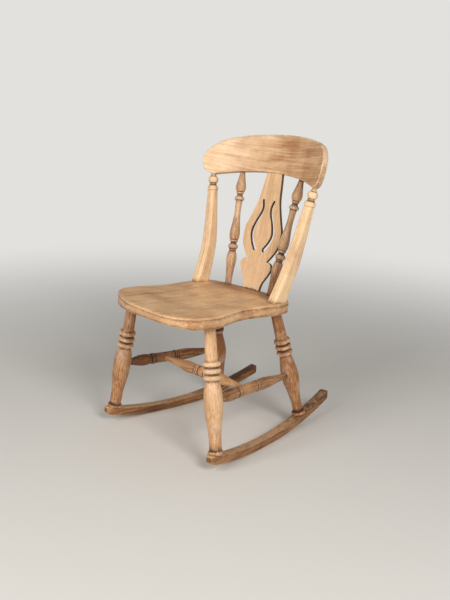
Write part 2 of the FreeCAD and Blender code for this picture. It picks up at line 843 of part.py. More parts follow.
# The spindles: turned with a lower bulge, a ring, a long swell, a disc and a bulb.
# Each row of the table is a kind, a share of the length, a size and a share of it.
SPINDLE_TURNING_SHARES = (
    ("curve", 0.111, "spindle_bulge_radius", 0.667),
    ("curve", 0.186, "spindle_bulge_radius", 0.90),
    ("curve", 0.245, "spindle_bulge_radius", 1.0),
    ("curve", 0.310, "spindle_bulge_radius", 0.78),
    ("line", 0.322, "spindle_waist_radius", 1.0),
    ("ring", 0.344, "spindle_ring_radius", 1.0),
    ("line", 0.387, "spindle_waist_radius", 1.0),
    ("line", 0.4, "spindle_swell_radius", 0.95),
    ("curve", 0.427, "spindle_swell_radius", 1.0),
    ("curve", 0.526, "spindle_swell_radius", 0.845),
    ("curve", 0.638, "spindle_neck_radius", 1.0),
    ("curve", 0.725, "spindle_neck_radius", 1.1),
    ("curve", 0.768, "spindle_neck_radius", 1.28),
    ("ring", 0.782, "spindle_ring_radius", 1.0),
    ("line", 0.808, "spindle_waist_radius", 1.0),
    ("line", 0.820, "spindle_waist_radius", 1.0),
    ("curve", 0.836, "spindle_bulge_radius", 0.84),
    ("curve", 0.867, "spindle_bulge_radius", 0.97),
    ("curve", 0.929, "spindle_bulge_radius", 0.767),
)
SPINDLE_GROOVE_SHARE = 0.74


def spindle_line(side):
    foot = on_seat(side * size("spindle_foot_half_span"), size("spindle_foot_back"))
    head = crest_underside(side * size("spindle_head_half_span"), size("crest_thickness") / 2)
    return foot, head


def spindle_turning(side):
    foot, head = spindle_line(side)
    length = (head - foot).Length
    end_radius = size("spindle_end_radius")
    half_ring = size("spindle_ring_height") / 2
    rows = [("line", -size("spindle_foot_depth"), end_radius), ("line", 0, end_radius)]
    for kind, run_share, alias, girth_share in SPINDLE_TURNING_SHARES:
        station = run_share * length
        radius = size(alias) * girth_share
        if kind == "ring":
            rows.append(("line", station - half_ring, radius * SPINDLE_GROOVE_SHARE))
            rows.append(("bead", station + half_ring, radius))
        else:
            rows.append((kind, station, radius))
    rows.append(("curve", length, end_radius))
    rows.append(("line", length + size("spindle_head_depth"), end_radius))
    name = "spindle_" + ("right" if side > 0 else "left")
    return feature(name, turned(rows), along(foot, head - foot))


def spindle_sockets(name, side):
    """The blind holes for a spindle's two ends, in the seat and in the rail."""
    foot, head = spindle_line(side)
    axis = Vector(head - foot).normalize()
    radius = "Sizes.spindle_end_radius + Sizes.socket_clearance"
    low = foot - axis * (size("spindle_foot_depth") + size("socket_end_gap"))
    return (
        cylinder(name + "_foot", low, axis, radius, "Sizes.spindle_foot_depth + Sizes.overrun"),
        cylinder(
            name + "_head",
            head - axis * size("overrun"),
            axis,
            radius,
            "Sizes.overrun + Sizes.spindle_head_depth + Sizes.socket_end_gap",
        ),
    )


# The splat: one thin board, fretted to a baluster outline with two scrolled ears
# below its belly, and pierced with two curved slits that close like a lyre.
SPLAT_EAR_SHARES = ((0.59, 0.24), (0.75, 0.44), (0.905, 0.62), (0.99, 0.76), (0.975, 0.88), (0.85, 0.975))
SPLAT_BELLY_SHARES = (
    (0.67, 0.049), (0.89, 0.142), (0.97, 0.198), (1.0, 0.287), (0.978, 0.364), (0.92, 0.405),
    (0.745, 0.53), (0.56, 0.688), (0.489, 0.814),
)
SLIT_SHARES = (
    (0.248, 0.126), (0.365, 0.17), (0.489, 0.231), (0.555, 0.308), (0.504, 0.381), (0.372, 0.47),
    (0.241, 0.551), (0.219, 0.611), (0.292, 0.68),
)


def splat_line():
    """The front of the splat's foot, and where its front meets the crest rail."""
    foot = on_seat(0, size("splat_foot_back"))
    return foot, crest_underside(0, (size("crest_thickness") - size("splat_thickness")) / 2)


splat_foot, splat_head = splat_line()
splat_place = square_on(splat_foot, splat_head - splat_foot)
splat_height = (splat_head - splat_foot).Length


def splat_outline():
    ear = size("splat_ear_height")
    above_ear = splat_height - ear
    foot = Vector(size("splat_foot_half_width"), 0, 0)
    notch = Vector(size("splat_notch_half_width"), 0, ear)
    top = Vector(size("splat_top_half_width"), 0, splat_height)
    ear_points = [
        Vector(size("splat_ear_half_width") * across, 0, ear * up) for across, up in SPLAT_EAR_SHARES
    ]
    belly_points = [
        Vector(size("splat_belly_half_width") * across, 0, ear + above_ear * up)
        for across, up in SPLAT_BELLY_SHARES
    ]
    low = foot - Z_AXIS * size("splat_tenon_depth")
    high = top + Z_AXIS * size("splat_head_depth")
    half = [
        Part.LineSegment(low, foot).toShape(),
        spline([foot] + ear_points + [notch]).toShape(),
        spline([notch] + belly_points + [top]).toShape(),
        Part.LineSegment(top, high).toShape(),
    ]
    ends = [Part.LineSegment(Vector(-point.x, 0, point.z), point).toShape() for point in (low, high)]
    edges = half + [mirrored(edge) for edge in half] + ends
    return Part.Face(Part.Wire(Part.__sortEdges__(edges)))


def slit_outline(side):
    """A slit between two fair curves, narrow above and round ended."""
    ear = size("splat_ear_height")
    above_ear = splat_height - ear
    reach = side * size("splat_belly_half_width")
    middle = spline([Vector(reach * across, 0, ear + above_ear * up) for across, up in SLIT_SHARES])
    steps = len(SLIT_SHARES) - 1
    banks = ([], [])
    for step in range(steps + 1):
        share = step / steps
        where = middle.FirstParameter + share * (middle.LastParameter - middle.FirstParameter)
        across = Vector(middle.tangent(where)[0]).cross(Y_AXIS)
        width = size("splat_slit_bottom_width") * (1 - share) + size("splat_slit_top_width") * share
        for bank, sign in zip(banks, (1, -1)):
            bank.append(middle.value(where) + across * sign * width / 2)
    edges = [spline(bank).toShape() for bank in banks]
    for index, where, sign in ((0, middle.FirstParameter, -1), (-1, middle.LastParameter, 1)):
        start, finish = banks[0][index], banks[1][index]
        outward = Vector(middle.tangent(where)[0]) * sign
        crown = (start + finish) / 2 + outward * (finish - start).Length / 2
        edges.append(Part.Arc(start, crown, finish).toShape())
    return Part.Face(Part.Wire(Part.__sortEdges__(edges)))


def splat_slab(name, half_width, low, high, extra):
    """A slab in the splat's frame, from low to high, extra wider all round."""
    corner = Vector(-half_width - extra, -extra, low)
    slab = Part.makeBox(
        2 * (half_width + extra), size("splat_thickness") + 2 * extra, high - low, corner
    )
    return feature(name, slab, splat_place)


def splat():
    board = extrusion("splat_board", splat_outline(), splat_place, Y_AXIS, cell("splat_thickness"))
    through = Placement(splat_place)
    through.move(splat_place.Rotation.multVec(-Y_AXIS * size("overrun") / 2))
    slits = [
        extrusion(name + "_slit", slit_outline(side), through, Y_AXIS, cell("overrun"))
        for name, side in SIDES
    ]
    reach = size("overrun")
    ground = box(
        "splat_ground",
        on_seat(-reach, size("splat_foot_back") - reach, size("socket_clearance") - reach),
        seat_place.Rotation,
        "2 * Sizes.overrun",
        "2 * Sizes.overrun",
        cell("overrun"),
    )
    whole = doc.addObject("Part::Fuse", "splat_whole")
    whole.Base = cut("splat_pierced", board, slits + [ground])
    whole.Tool = splat_slab(
        "splat_tenon",
        size("splat_tenon_half_width"),
        -size("splat_tenon_depth"),
        size("splat_tenon_depth"),
        0,
    )
    return whole


# The seat: two boards glued edge to edge and sawn to a serpentine outline, dished
# for the sitter, rounded on top and bevelled below its bowed front. Its front was
# sawn by eye, so the right lobe stands further forward and the left one is slimmer.
MIDDLE_FRONT_SHARE = 0.98
LOBE_SHARES = {
    1: (
        (0.241, 0.992), (0.492, 1.0), (0.695, 0.977), (0.834, 0.924), (0.93, 0.837), (0.984, 0.731),
        (1.0, 0.658), (0.981, 0.568), (0.922, 0.4415), (0.866, 0.295),
    ),
    -1: (
        (0.241, 0.954), (0.4545, 0.9025), (0.642, 0.84), (0.802, 0.774), (0.909, 0.701), (0.949, 0.624),
        (0.952, 0.5445), (0.928, 0.4615), (0.893, 0.358),
    ),
}
WAIST_SHARES = {1: ((1.0, 0.1955), (1.016, 0.106)), -1: ((1.025, 0.2586), (1.009, 0.1656), (1.028, 0.0625))}
REAR_SHARES = ((0.979, 0.009), (1.0, 0.293), (0.991, 0.493), (0.961, 0.677), (0.896, 0.823), (0.819, 0.896))


def seat_outline():
    front = size("seat_front_reach")
    back = size("seat_back_reach")
    right, left = (
        [
            Vector(side * size(alias) * across, reach * along_share, 0)
            for alias, reach, shares in (
                ("seat_lobe_half_width", -front, LOBE_SHARES[side]),
                ("seat_waist_half_width", -front, WAIST_SHARES[side]),
                ("seat_rear_half_width", back, REAR_SHARES),
            )
            for across, along_share in shares
        ]
        for _, side in SIDES
    )
    sides = spline(left[::-1] + [Vector(0, -front * MIDDLE_FRONT_SHARE, 0)] + right)
    back_edge = Part.Arc(right[-1], Vector(0, back, 0), left[-1])
    return Part.Face(Part.Wire([sides.toShape(), back_edge.toShape()]))


def seat_blank():
    plank = extrusion("seat_plank", seat_outline(), seat_place, -Z_AXIS, cell("seat_thickness"))

    def at_corner(edge):
        return abs(edge.Length - size("seat_thickness")) < EDGE_MATCH

    def on_top(edge):
        local = [seat_place.inverse().multVec(vertex.Point) for vertex in edge.Vertexes]
        return all(abs(point.z) < EDGE_MATCH for point in local)

    cornered = rounded("seat_corners", plank, "seat_corner_round", at_corner)
    return rounded("seat_eased", cornered, "seat_edge_round", on_top)


def dish():
    """The hollow is the cap of a large ellipsoid, whose rim is the hollow's own."""
    item = doc.addObject("Part::Ellipsoid", "seat_dish")
    spread = " / sqrt(1 - (1 - Sizes.dish_depth / Sizes.dish_curve_height) ^ 2)"
    bind(item, "Radius1", cell("dish_curve_height"))
    bind(item, "Radius2", cell("dish_half_width") + spread)
    bind(item, "Radius3", cell("dish_half_length") + spread)
    lift = size("dish_curve_height") - size("dish_depth")
    centre = on_seat(0, -size("dish_centre_forward"), lift)
    item.Placement = Placement(centre, seat_place.Rotation)
    return item


def front_bevel():
    """The wedge of wood taken off below the bowed front edge."""
    run = size("front_bevel_run")
    slope = math.degrees(math.atan2(size("front_bevel_depth"), run))
    turn = seat_place.Rotation * Rotation(X_AXIS, -slope)
    hinge = on_seat(0, run - size("seat_front_reach"), -size("seat_thickness"))
    reach = size("overrun")
    corner = Vector(-size("seat_lobe_half_width") - reach, -run - reach, -reach)
    return box(
        "seat_front_bevel",
        hinge + turn.multVec(corner),
        turn,
        "2 * (Sizes.seat_lobe_half_width + Sizes.overrun)",
        "Sizes.front_bevel_run + Sizes.overrun",
        cell("overrun"),
    )


# Every leg with its wedge, then the rockers with the holes for both foot tenons.
foot_holes = {1: [], -1: []}
for end in ENDS:
    for side_name, side in SIDES:
        foot, head = leg_line(end, side)
        axis = leg_axis(end, side)
        place_name = end + "_" + side_name
        wedge = tenon_wedge(
            place_name + "_foot_wedge",
            foot,
            axis,
            "foot_tenon_radius",
            size("rocker_depth") * FOOT_TENON_SHARE,
        )
        socket = side_socket(place_name + "_leg_socket", end, side)
        leg = cut(place_name + "_leg", leg_turning(end, side), [socket, wedge])
        sub_part(leg, place_name + "_leg")
        foot_holes[side].append(
            cylinder(
                place_name + "_foot_hole",
                foot - axis * size("overrun"),
                axis,
                "Sizes.foot_tenon_radius + Sizes.socket_clearance",
                "2 * Sizes.overrun",
            )
        )

for side_name, side in SIDES:
    blank = rocker_blank(side_name + "_rocker_blank", side)
    sub_part(cut(side_name + "_rocker", blank, foot_holes[side]), side_name + "_rocker")
    socket = cross_socket(side_name + "_cross_socket", side)
    stretcher = cut(side_name + "_side_stretcher", side_stretcher_turning(side), [socket])
    sub_part(stretcher, side_name + "_side_stretcher")

sub_part(cross_stretcher(), "cross_stretcher")

# The back: stiles, spindles and splat, with the holes that they need in the crest
# rail above them and in the seat below.
seat_holes = [dish(), front_bevel()]
crest_holes = []
for side_name, side in SIDES:
    foot, knee, head = stile_line(side)
    lower, upper = stile_axes(side)
    wedge = tenon_wedge(
        side_name + "_stile_wedge",
        foot,
        lower,
        "stile_tenon_radius",
        size("seat_thickness") * STILE_TENON_SHARE,
    )
    sub_part(cut(side_name + "_stile", stile_turning(side), [wedge]), side_name + "_stile")
    seat_holes.append(
        cylinder(
            side_name + "_stile_hole",
            foot - lower * size("overrun"),
            lower,
            "Sizes.stile_tenon_radius + Sizes.socket_clearance",
            "2 * Sizes.overrun",
        )
    )
    crest_holes.append(
        cylinder(
            side_name + "_neck_hole",
            head - upper * size("overrun"),
            upper,
            "Sizes.stile_neck_radius + Sizes.socket_clearance",
            "Sizes.overrun + Sizes.stile_neck_depth + Sizes.socket_end_gap",
        )
    )
    sub_part(spindle_turning(side), side_name + "_spindle")
    seat_hole, crest_hole = spindle_sockets(side_name + "_spindle_hole", side)
    seat_holes.append(seat_hole)
    crest_holes.append(crest_hole)

sub_part(splat(), "splat")
crest_holes.append(
    splat_slab(
        "splat_slot",
        size("splat_top_half_width"),
        splat_height - size("overrun") / 2,
        splat_height + size("splat_head_depth") + size("socket_end_gap"),
        size("socket_clearance"),
    )
)
sub_part(cut("crest_rail", crest_blank(), crest_holes), "crest_rail")

seat_holes.append(
    splat_slab(
        "splat_mortise",
        size("splat_tenon_half_width"),
        -size("splat_tenon_depth") - size("socket_end_gap"),
        size("splat_tenon_depth"),
        size("socket_clearance"),
    )
)
for end in ENDS:
    for side_name, side in SIDES:
        foot, head = leg_line(end, side)
        axis = leg_axis(end, side)
        seat_holes.append(
            cylinder(
                end + "_" + side_name + "_leg_hole",
                head - axis * size("overrun"),
                axis,
                "Sizes.leg_top_radius + Sizes.socket_clearance",
                "Sizes.overrun + Sizes.leg_socket_depth + Sizes.socket_end_gap",
            )
        )

# The seat is bored whole and then parted at its glue joint.
whole_seat = cut("whole_seat", seat_blank(), seat_holes)
joint_side = box(
    "beyond_joint",
    Vector(
        -size("board_joint_offset") - 2 * size("seat_lobe_half_width"),
        -2 * size("seat_front_reach"),
        0,
    ),
    Rotation(),
    "2 * Sizes.seat_lobe_half_width",
    "4 * Sizes.seat_front_reach",
    "2 * Sizes.seat_height",
)
sub_part(cut("seat_wide_board", whole_seat, [joint_side]), "seat_wide_board")
narrow_board = doc.addObject("Part::Common", "seat_narrow_board")
narrow_board.Base = whole_seat
narrow_board.Tool = joint_side
sub_part(narrow_board, "seat_narrow_board")

doc.recompute()
for item in doc.Objects:
    faults = [state for state in item.State if state in ("Invalid", "Error")]
    if faults:
        raise RuntimeError(item.Name + " could not be computed: " + ", ".join(faults))
for item in sub_parts:
    shape = item.Shape
    if shape.isNull() or not shape.isValid() or len(shape.Solids) != 1 or shape.Volume <= 0:
        raise RuntimeError(item.Label + " is not one valid solid")

os.makedirs("parts", exist_ok=True)
for item in sub_parts:
    item.Shape.exportStep(os.path.join("parts", item.Label + ".step"))
    print(item.Label, len(item.Shape.Faces), "faces")
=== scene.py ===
import math

import bmesh
import bpy
import numpy as np
from mathutils import Matrix, Vector
from mathutils.geometry import delaunay_2d_cdt


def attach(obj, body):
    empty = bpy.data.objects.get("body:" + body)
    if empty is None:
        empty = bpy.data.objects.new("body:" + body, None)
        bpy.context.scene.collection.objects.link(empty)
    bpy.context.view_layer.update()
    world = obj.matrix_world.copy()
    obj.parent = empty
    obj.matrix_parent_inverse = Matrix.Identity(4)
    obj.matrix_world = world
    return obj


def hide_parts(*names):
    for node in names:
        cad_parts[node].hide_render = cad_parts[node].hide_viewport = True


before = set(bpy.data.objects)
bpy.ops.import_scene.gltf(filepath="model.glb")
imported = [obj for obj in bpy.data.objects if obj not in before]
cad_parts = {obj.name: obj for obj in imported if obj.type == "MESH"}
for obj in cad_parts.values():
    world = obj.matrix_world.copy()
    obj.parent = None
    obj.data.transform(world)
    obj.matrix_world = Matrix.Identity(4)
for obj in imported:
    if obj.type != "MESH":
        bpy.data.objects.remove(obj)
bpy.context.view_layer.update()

# The view: the camera stands in front of the chair's right side, a little above the
# crest rail, with a 50 mm lens held very slightly out of level.
EYE = (1.5661, -1.5494, 0.9568)
LOOKING_DOWN, LOOKING_ROUND, HELD_TILT = 15.07, 45.0, 1.79

lens = bpy.data.cameras.new("view_lens")
lens.sensor_fit = "VERTICAL"
lens.sensor_height = 36.0
lens.lens = 50.4
camera = bpy.data.objects.new("view", lens)
camera.matrix_world = (
    Matrix.Translation(EYE)
    @ Matrix.Rotation(math.radians(LOOKING_ROUND), 4, "Z")
    @ Matrix.Rotation(math.radians(90.0 - LOOKING_DOWN), 4, "X")
    @ Matrix.Rotation(math.radians(HELD_TILT), 4, "Z")
)
bpy.context.scene.collection.objects.link(camera)
bpy.context.scene.camera = camera
bpy.context.scene.view_settings.view_transform = "Standard"


# The floor and the light: a pale studio floor that fades into a pale surround, one
# broad soft light from the chair's right side, and a weaker one from its front.
def tone(red, green, blue):
    """A colour given as 0 to 255 screen values, as the light values that shaders use."""
    shares = [value / 255.0 for value in (red, green, blue)]
    return tuple(s / 12.92 if s <= 0.04045 else ((s + 0.055) / 1.055) ** 2.4 for s in shares) + (1.0,)


def fresh_nodes(owner):
    """Empties a material's or a world's nodes, and gives the function that adds new ones.
    A socket, by name or number, takes a value, an output, or a node for its first output."""
    owner.use_nodes = True
    tree = owner.node_tree
    tree.nodes.clear()

    def add(kind, *sockets, **settings):
        node = tree.nodes.new("ShaderNode" + kind)
        for setting, value in settings.items():
            setattr(node, setting, value)
        for socket, value in sockets:
            if isinstance(value, bpy.types.Node):
                value = value.outputs[0]
            if isinstance(value, bpy.types.NodeSocket):
                tree.links.new(value, node.inputs[socket])
            else:
                node.inputs[socket].default_value = value
        return node

    return add


SURROUND = tone(226, 225, 222)
FLOOR = tone(224, 222, 217)
SKY, SKY_STRENGTH = (1.0, 0.99, 0.975, 1.0), 0.24
DAYLIGHT = (1.0, 0.98, 0.95)
FLOOR_RADIUS, FADE_START, FADE_END = 14.0, 0.7, 2.7
LIT_MIDDLE = Vector((0.0, 0.0, 0.45))

studio = bpy.data.worlds.new("studio")
add = fresh_nodes(studio)
soft = add("Background", ("Color", SKY), ("Strength", SKY_STRENGTH))
seen = add("Background", ("Color", SURROUND))
either = add("MixShader", (0, add("LightPath").outputs["Is Camera Ray"]), (1, soft), (2, seen))
add("OutputWorld", ("Surface", either))
bpy.context.scene.world = studio

floor_paint = bpy.data.materials.new("studio_floor")
add = fresh_nodes(floor_paint)
spread = add("VectorMath", (0, add("TexCoord").outputs["Object"]), operation="LENGTH")
fade = add(
    "MapRange", ("Value", spread.outputs["Value"]), ("From Min", FADE_START), ("From Max", FADE_END),
    interpolation_type="SMOOTHSTEP",
)
matt = add("BsdfPrincipled", ("Base Color", FLOOR), ("Roughness", 0.7))
far_off = add("Emission", ("Color", SURROUND), ("Strength", 1.0))
add("OutputMaterial", ("Surface", add("MixShader", (0, fade), (1, matt), (2, far_off))))
floor_mesh = bpy.data.meshes.new("floor")
floor_bm = bmesh.new()
bmesh.ops.create_circle(floor_bm, cap_ends=True, segments=96, radius=FLOOR_RADIUS)
floor_bm.to_mesh(floor_mesh)
floor_bm.free()
floor = bpy.data.objects.new("floor", floor_mesh)
floor.data.materials.append(floor_paint)
bpy.context.scene.collection.objects.link(floor)


def soft_light(name, place, size, watts):
    """A square lamp that faces the middle of the chair."""
    lamp = bpy.data.lights.new(name, "AREA")
    lamp.shape = "SQUARE"
    lamp.size = size
    lamp.energy = watts
    lamp.color = DAYLIGHT
    item = bpy.data.objects.new(name, lamp)
    turn = (LIT_MIDDLE - Vector(place)).to_track_quat("-Z", "Y").to_matrix().to_4x4()
    item.matrix_world = Matrix.Translation(place) @ turn
    bpy.context.scene.collection.objects.link(item)


soft_light("window", (2.9, -1.1, 2.1), 1.2, 70.0)
soft_light("second_window", (0.1, -2.9, 1.9), 1.6, 56.0)


# The rockers: two curved runners of beech, sawn flat-sided to one arc, toed in towards
# the back, and rounded at the ends and the upper arrises. They are the darkest wood of
# the chair, with scuffed tops, and the legs stand in through holes.
def old_wood(
    name, pale, brown, groove, rub, polish, patches, streaks, bloom,
    figure=55.0, rub_reach=(0.25, 0.9), streak_scale=150.0, rings_show=0.26,
):
    """Aged, waxed wood. Each mesh carries `grain`, where +z runs along the fibres, `wear_and_shade`,
    which is -1 deep in a groove and 1 on a rubbed edge, and is also set below 0 where shade
    is painted, and `shade`: painted light and the wood's own bleaching above 0, painted
    shade and the wood's own darkening below 0."""
    wood = bpy.data.materials.new(name)
    add = fresh_nodes(wood)
    grain, wear_and_shade, shade = (
        add("Attribute", attribute_name=mark).outputs[output]
        for mark, output in (("grain", "Vector"), ("wear_and_shade", "Fac"), ("shade", "Fac"))
    )

    def drawn_out(share):
        """The grain's own space, with lengths along the fibres cut to a share."""
        return add("Mapping", ("Vector", grain), ("Scale", (1.0, 1.0, share)))

    def noise(space, scale, detail, roughness=0.5):
        return add(
            "TexNoise", ("Vector", space), ("Scale", scale), ("Detail", detail), ("Roughness", roughness)
        )

    def ease(value, start, end, top):
        """Rises smoothly from 0 at the start value to the top at the end value."""
        return add(
            "MapRange", ("Value", value), ("From Min", start), ("From Max", end), ("To Max", top),
            interpolation_type="SMOOTHSTEP",
        )

    def mixed(share, below, above, way="MIX"):
        return add("MixRGB", ("Fac", share), ("Color1", below), ("Color2", above), blend_type=way)

    # The year rings sway a little along the board.
    lengthwise = drawn_out(0.11)
    sway = noise(lengthwise, 9.0, 2.0).outputs["Color"]
    centred = add("VectorMath", (0, sway), (1, (0.5, 0.5, 0.5)), operation="SUBTRACT")
    swayed = add("VectorMath", (0, centred), ("Scale", 0.06), operation="SCALE")
    bent = add("VectorMath", (0, swayed), (1, lengthwise), operation="ADD")
    rings = add(
        "TexWave", ("Vector", bent), ("Scale", figure), ("Distortion", 1.6), ("Detail", 2.5),
        ("Detail Scale", 1.2), wave_type="RINGS", rings_direction="Z", wave_profile="SAW",
    )
    streak = noise(drawn_out(0.05), streak_scale, 3.0, 0.6)
    fibres = noise(drawn_out(0.035), 900.0, 3.0, 0.62)
    flecks = noise(drawn_out(0.16), 620.0, 1.0)
    patch = noise(grain, 11.0, 4.0, 0.6)
    smudge = noise(grain, 85.0, 5.0, 0.65)
    # From pale to brown: the rings, the streaks, the fibres, the broad patches and the
    # mesh's own shade, each with its share, are added to a start that keeps them centred.
    depth = 0.05 - rings_show / 2 - 2.0 * streaks - 1.5 * patches
    for part, share in (
        (rings.outputs["Fac"], rings_show), (streak, 4.0 * streaks), (fibres, 0.8),
        (patch, 3.0 * patches), (shade, -0.6),
    ):
        depth = add("Math", (0, part), (1, share), (2, depth), operation="MULTIPLY_ADD")
    depth.use_clamp = True
    fleck_share = add("MapRange", ("Value", flecks), ("From Min", 0.60), ("From Max", 0.72), ("To Max", 0.35))
    flecked = mixed(fleck_share, mixed(depth, pale, brown), brown, "MULTIPLY")
    # Hands and cloths rub the proud edges pale, and old wax and dust lie in the grooves. The
    # same dark groove colour paints shade where a mesh's wear mark is set low for it.
    uneven = add("Math", (0, smudge), (1, 1.1), (2, -0.55), operation="MULTIPLY_ADD")
    worn_and_shaded = add("Math", (0, uneven), (1, wear_and_shade), operation="ADD")
    grimed_and_shaded = ease(worn_and_shaded, -0.08, -0.9, 0.86)
    rubbed = mixed(ease(worn_and_shaded, rub_reach[0], rub_reach[1], 1.0), flecked, rub)
    # Dried polish has left a whitish film in places.
    film = ease(noise(grain, 34.0, 6.0, 0.7), 0.50, 0.74, bloom)
    finished = mixed(film, mixed(grimed_and_shaded, rubbed, groove), tone(206, 180, 162))
    shine = add(
        "MapRange", ("Value", smudge), ("From Min", 0.3), ("From Max", 0.7),
        ("To Min", polish - 0.09), ("To Max", polish + 0.13),
    )
    dull = add("Math", (0, grimed_and_shaded), (1, 0.22), (2, shine), operation="MULTIPLY_ADD", use_clamp=True)
    dents = add("Bump", ("Strength", 0.6), ("Distance", 0.0011), ("Height", patch))
    pores = add("Bump", ("Strength", 0.6), ("Distance", 0.00022), ("Height", fibres), ("Normal", dents))
    surface = add(
        "BsdfPrincipled", ("IOR", 1.47), ("Base Color", finished), ("Roughness", dull), ("Normal", pores)
    )
    add("OutputMaterial", ("Surface", surface))
    return wood


MM = 0.001


def make_piece(name, points, faces, grain, wear_and_shade, shade, wood, nodes):
    """A piece of the chair from points in millimetres, which stands for its CAD nodes."""
    mesh = bpy.data.meshes.new(name)
    mesh.from_pydata([tuple(point) for point in np.asarray(points) * MM], [], faces)
    mesh.attributes.new("grain", "FLOAT_VECTOR", "POINT").data.foreach_set(
        "vector", (np.asarray(grain, float) * MM).ravel()
    )
    for mark, values in (("wear_and_shade", wear_and_shade), ("shade", shade)):
        mesh.attributes.new(mark, "FLOAT", "POINT").data.foreach_set("value", np.asarray(values, float))
    mesh.validate()
    mesh.polygons.foreach_set("use_smooth", [True] * len(mesh.polygons))
    mesh.materials.append(wood)
    item = bpy.data.objects.new(name, mesh)
    bpy.context.scene.collection.objects.link(item)
    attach(item, "root")
    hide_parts(*nodes)
    return item


def swell(values, middle, reach):
    """1 at the middle value, fading out on both sides of it over about the reach."""
    return np.exp(-(((values - middle) / reach) ** 2))


def ramp(values, start, end):
    """0 at the start value and before it, rising evenly to 1 at the end value."""
    return np.clip((values - start) / (end - start), 0.0, 1.0)


# A run loses its own points this near to where it is cut for a rounded corner, and the
# corner takes so many steps.
POINTS_APART, CORNER_STEPS = 0.2, 5


def closed_outline(runs, easing):
    """A closed outline of runs that meet at corners. Each corner, from the one where the
    first run starts, is rounded over by its own reach."""
    runs = [np.asarray(run, float) for run in runs]
    trimmed = []
    for number, run in enumerate(runs):
        gone = np.concatenate([[0.0], np.cumsum(np.linalg.norm(np.diff(run, axis=0), axis=1))])
        stops = (easing[number], gone[-1] - easing[(number + 1) % len(runs)])
        ends = [[np.interp(stop, gone, run[:, axis]) for axis in (0, 1)] for stop in stops]
        between = (gone > stops[0] + POINTS_APART) & (gone < stops[1] - POINTS_APART)
        trimmed.append(np.vstack([ends[0], run[between], ends[1]]))
    outline = []
    for number, run in enumerate(trimmed):
        following = (number + 1) % len(runs)
        outline += list(run[:-1])
        if not easing[following]:
            continue
        first, corner, last = run[-1], runs[number][-1], trimmed[following][0]
        for share in np.linspace(0.0, 1.0, CORNER_STEPS + 1)[:-1]:
            outline.append((1 - share) ** 2 * first + 2 * share * (1 - share) * corner + share ** 2 * last)
    return np.array(outline)


def inset(outline, distance):
    """A closed outline moved inwards. Outlines run anticlockwise."""
    points = np.asarray(outline, float)
    along = np.roll(points, -1, 0) - np.roll(points, 1, 0)
    along /= np.linalg.norm(along, axis=1)[:, None]
    return points + np.stack([-along[:, 1], along[:, 0]], 1) * distance


def edge_distance(points, outlines):
    """How far each point is from the nearest of the closed outlines."""
    nearest = np.full(len(points), np.inf)
    for outline in outlines:
        for start, end in zip(outline, np.roll(outline, -1, 0)):
            run = end - start
            share = np.clip(((points - start) @ run) / max(run @ run, 1e-9), 0.0, 1.0)
            nearest = np.minimum(nearest, np.linalg.norm(points - start - share[:, None] * run, axis=1))
    return nearest


def inside(points, outline):
    """Which points lie inside a closed outline."""
    within = np.zeros(len(points), bool)
    for (x0, y0), (x1, y1) in zip(outline, np.roll(outline, -1, 0)):
        if y0 == y1:
            continue
        crosses = (points[:, 1] > min(y0, y1)) & (points[:, 1] <= max(y0, y1))
        within ^= crosses & (points[:, 0] < x0 + (points[:, 1] - y0) * (x1 - x0) / (y1 - y0))
    return within


# Beside every sawn edge run rows of points, at these shares of its arris's rounding, and
# one more where the face is plain, at so many roundings from the edge. A row's point is
# kept if its nearest edge is at least this share of the row's distance away, and a grid's
# point if it is this share of the spacing away from the rows. A point nearer to an edge
# than the last number is on the sawn side itself.
ARRIS_ROWS, PLAIN_ROW = (0.12, 0.4, 1.0), 2.2
ROW_CLEAR, GRID_CLEAR, SAWN = 0.93, 0.45, 0.05


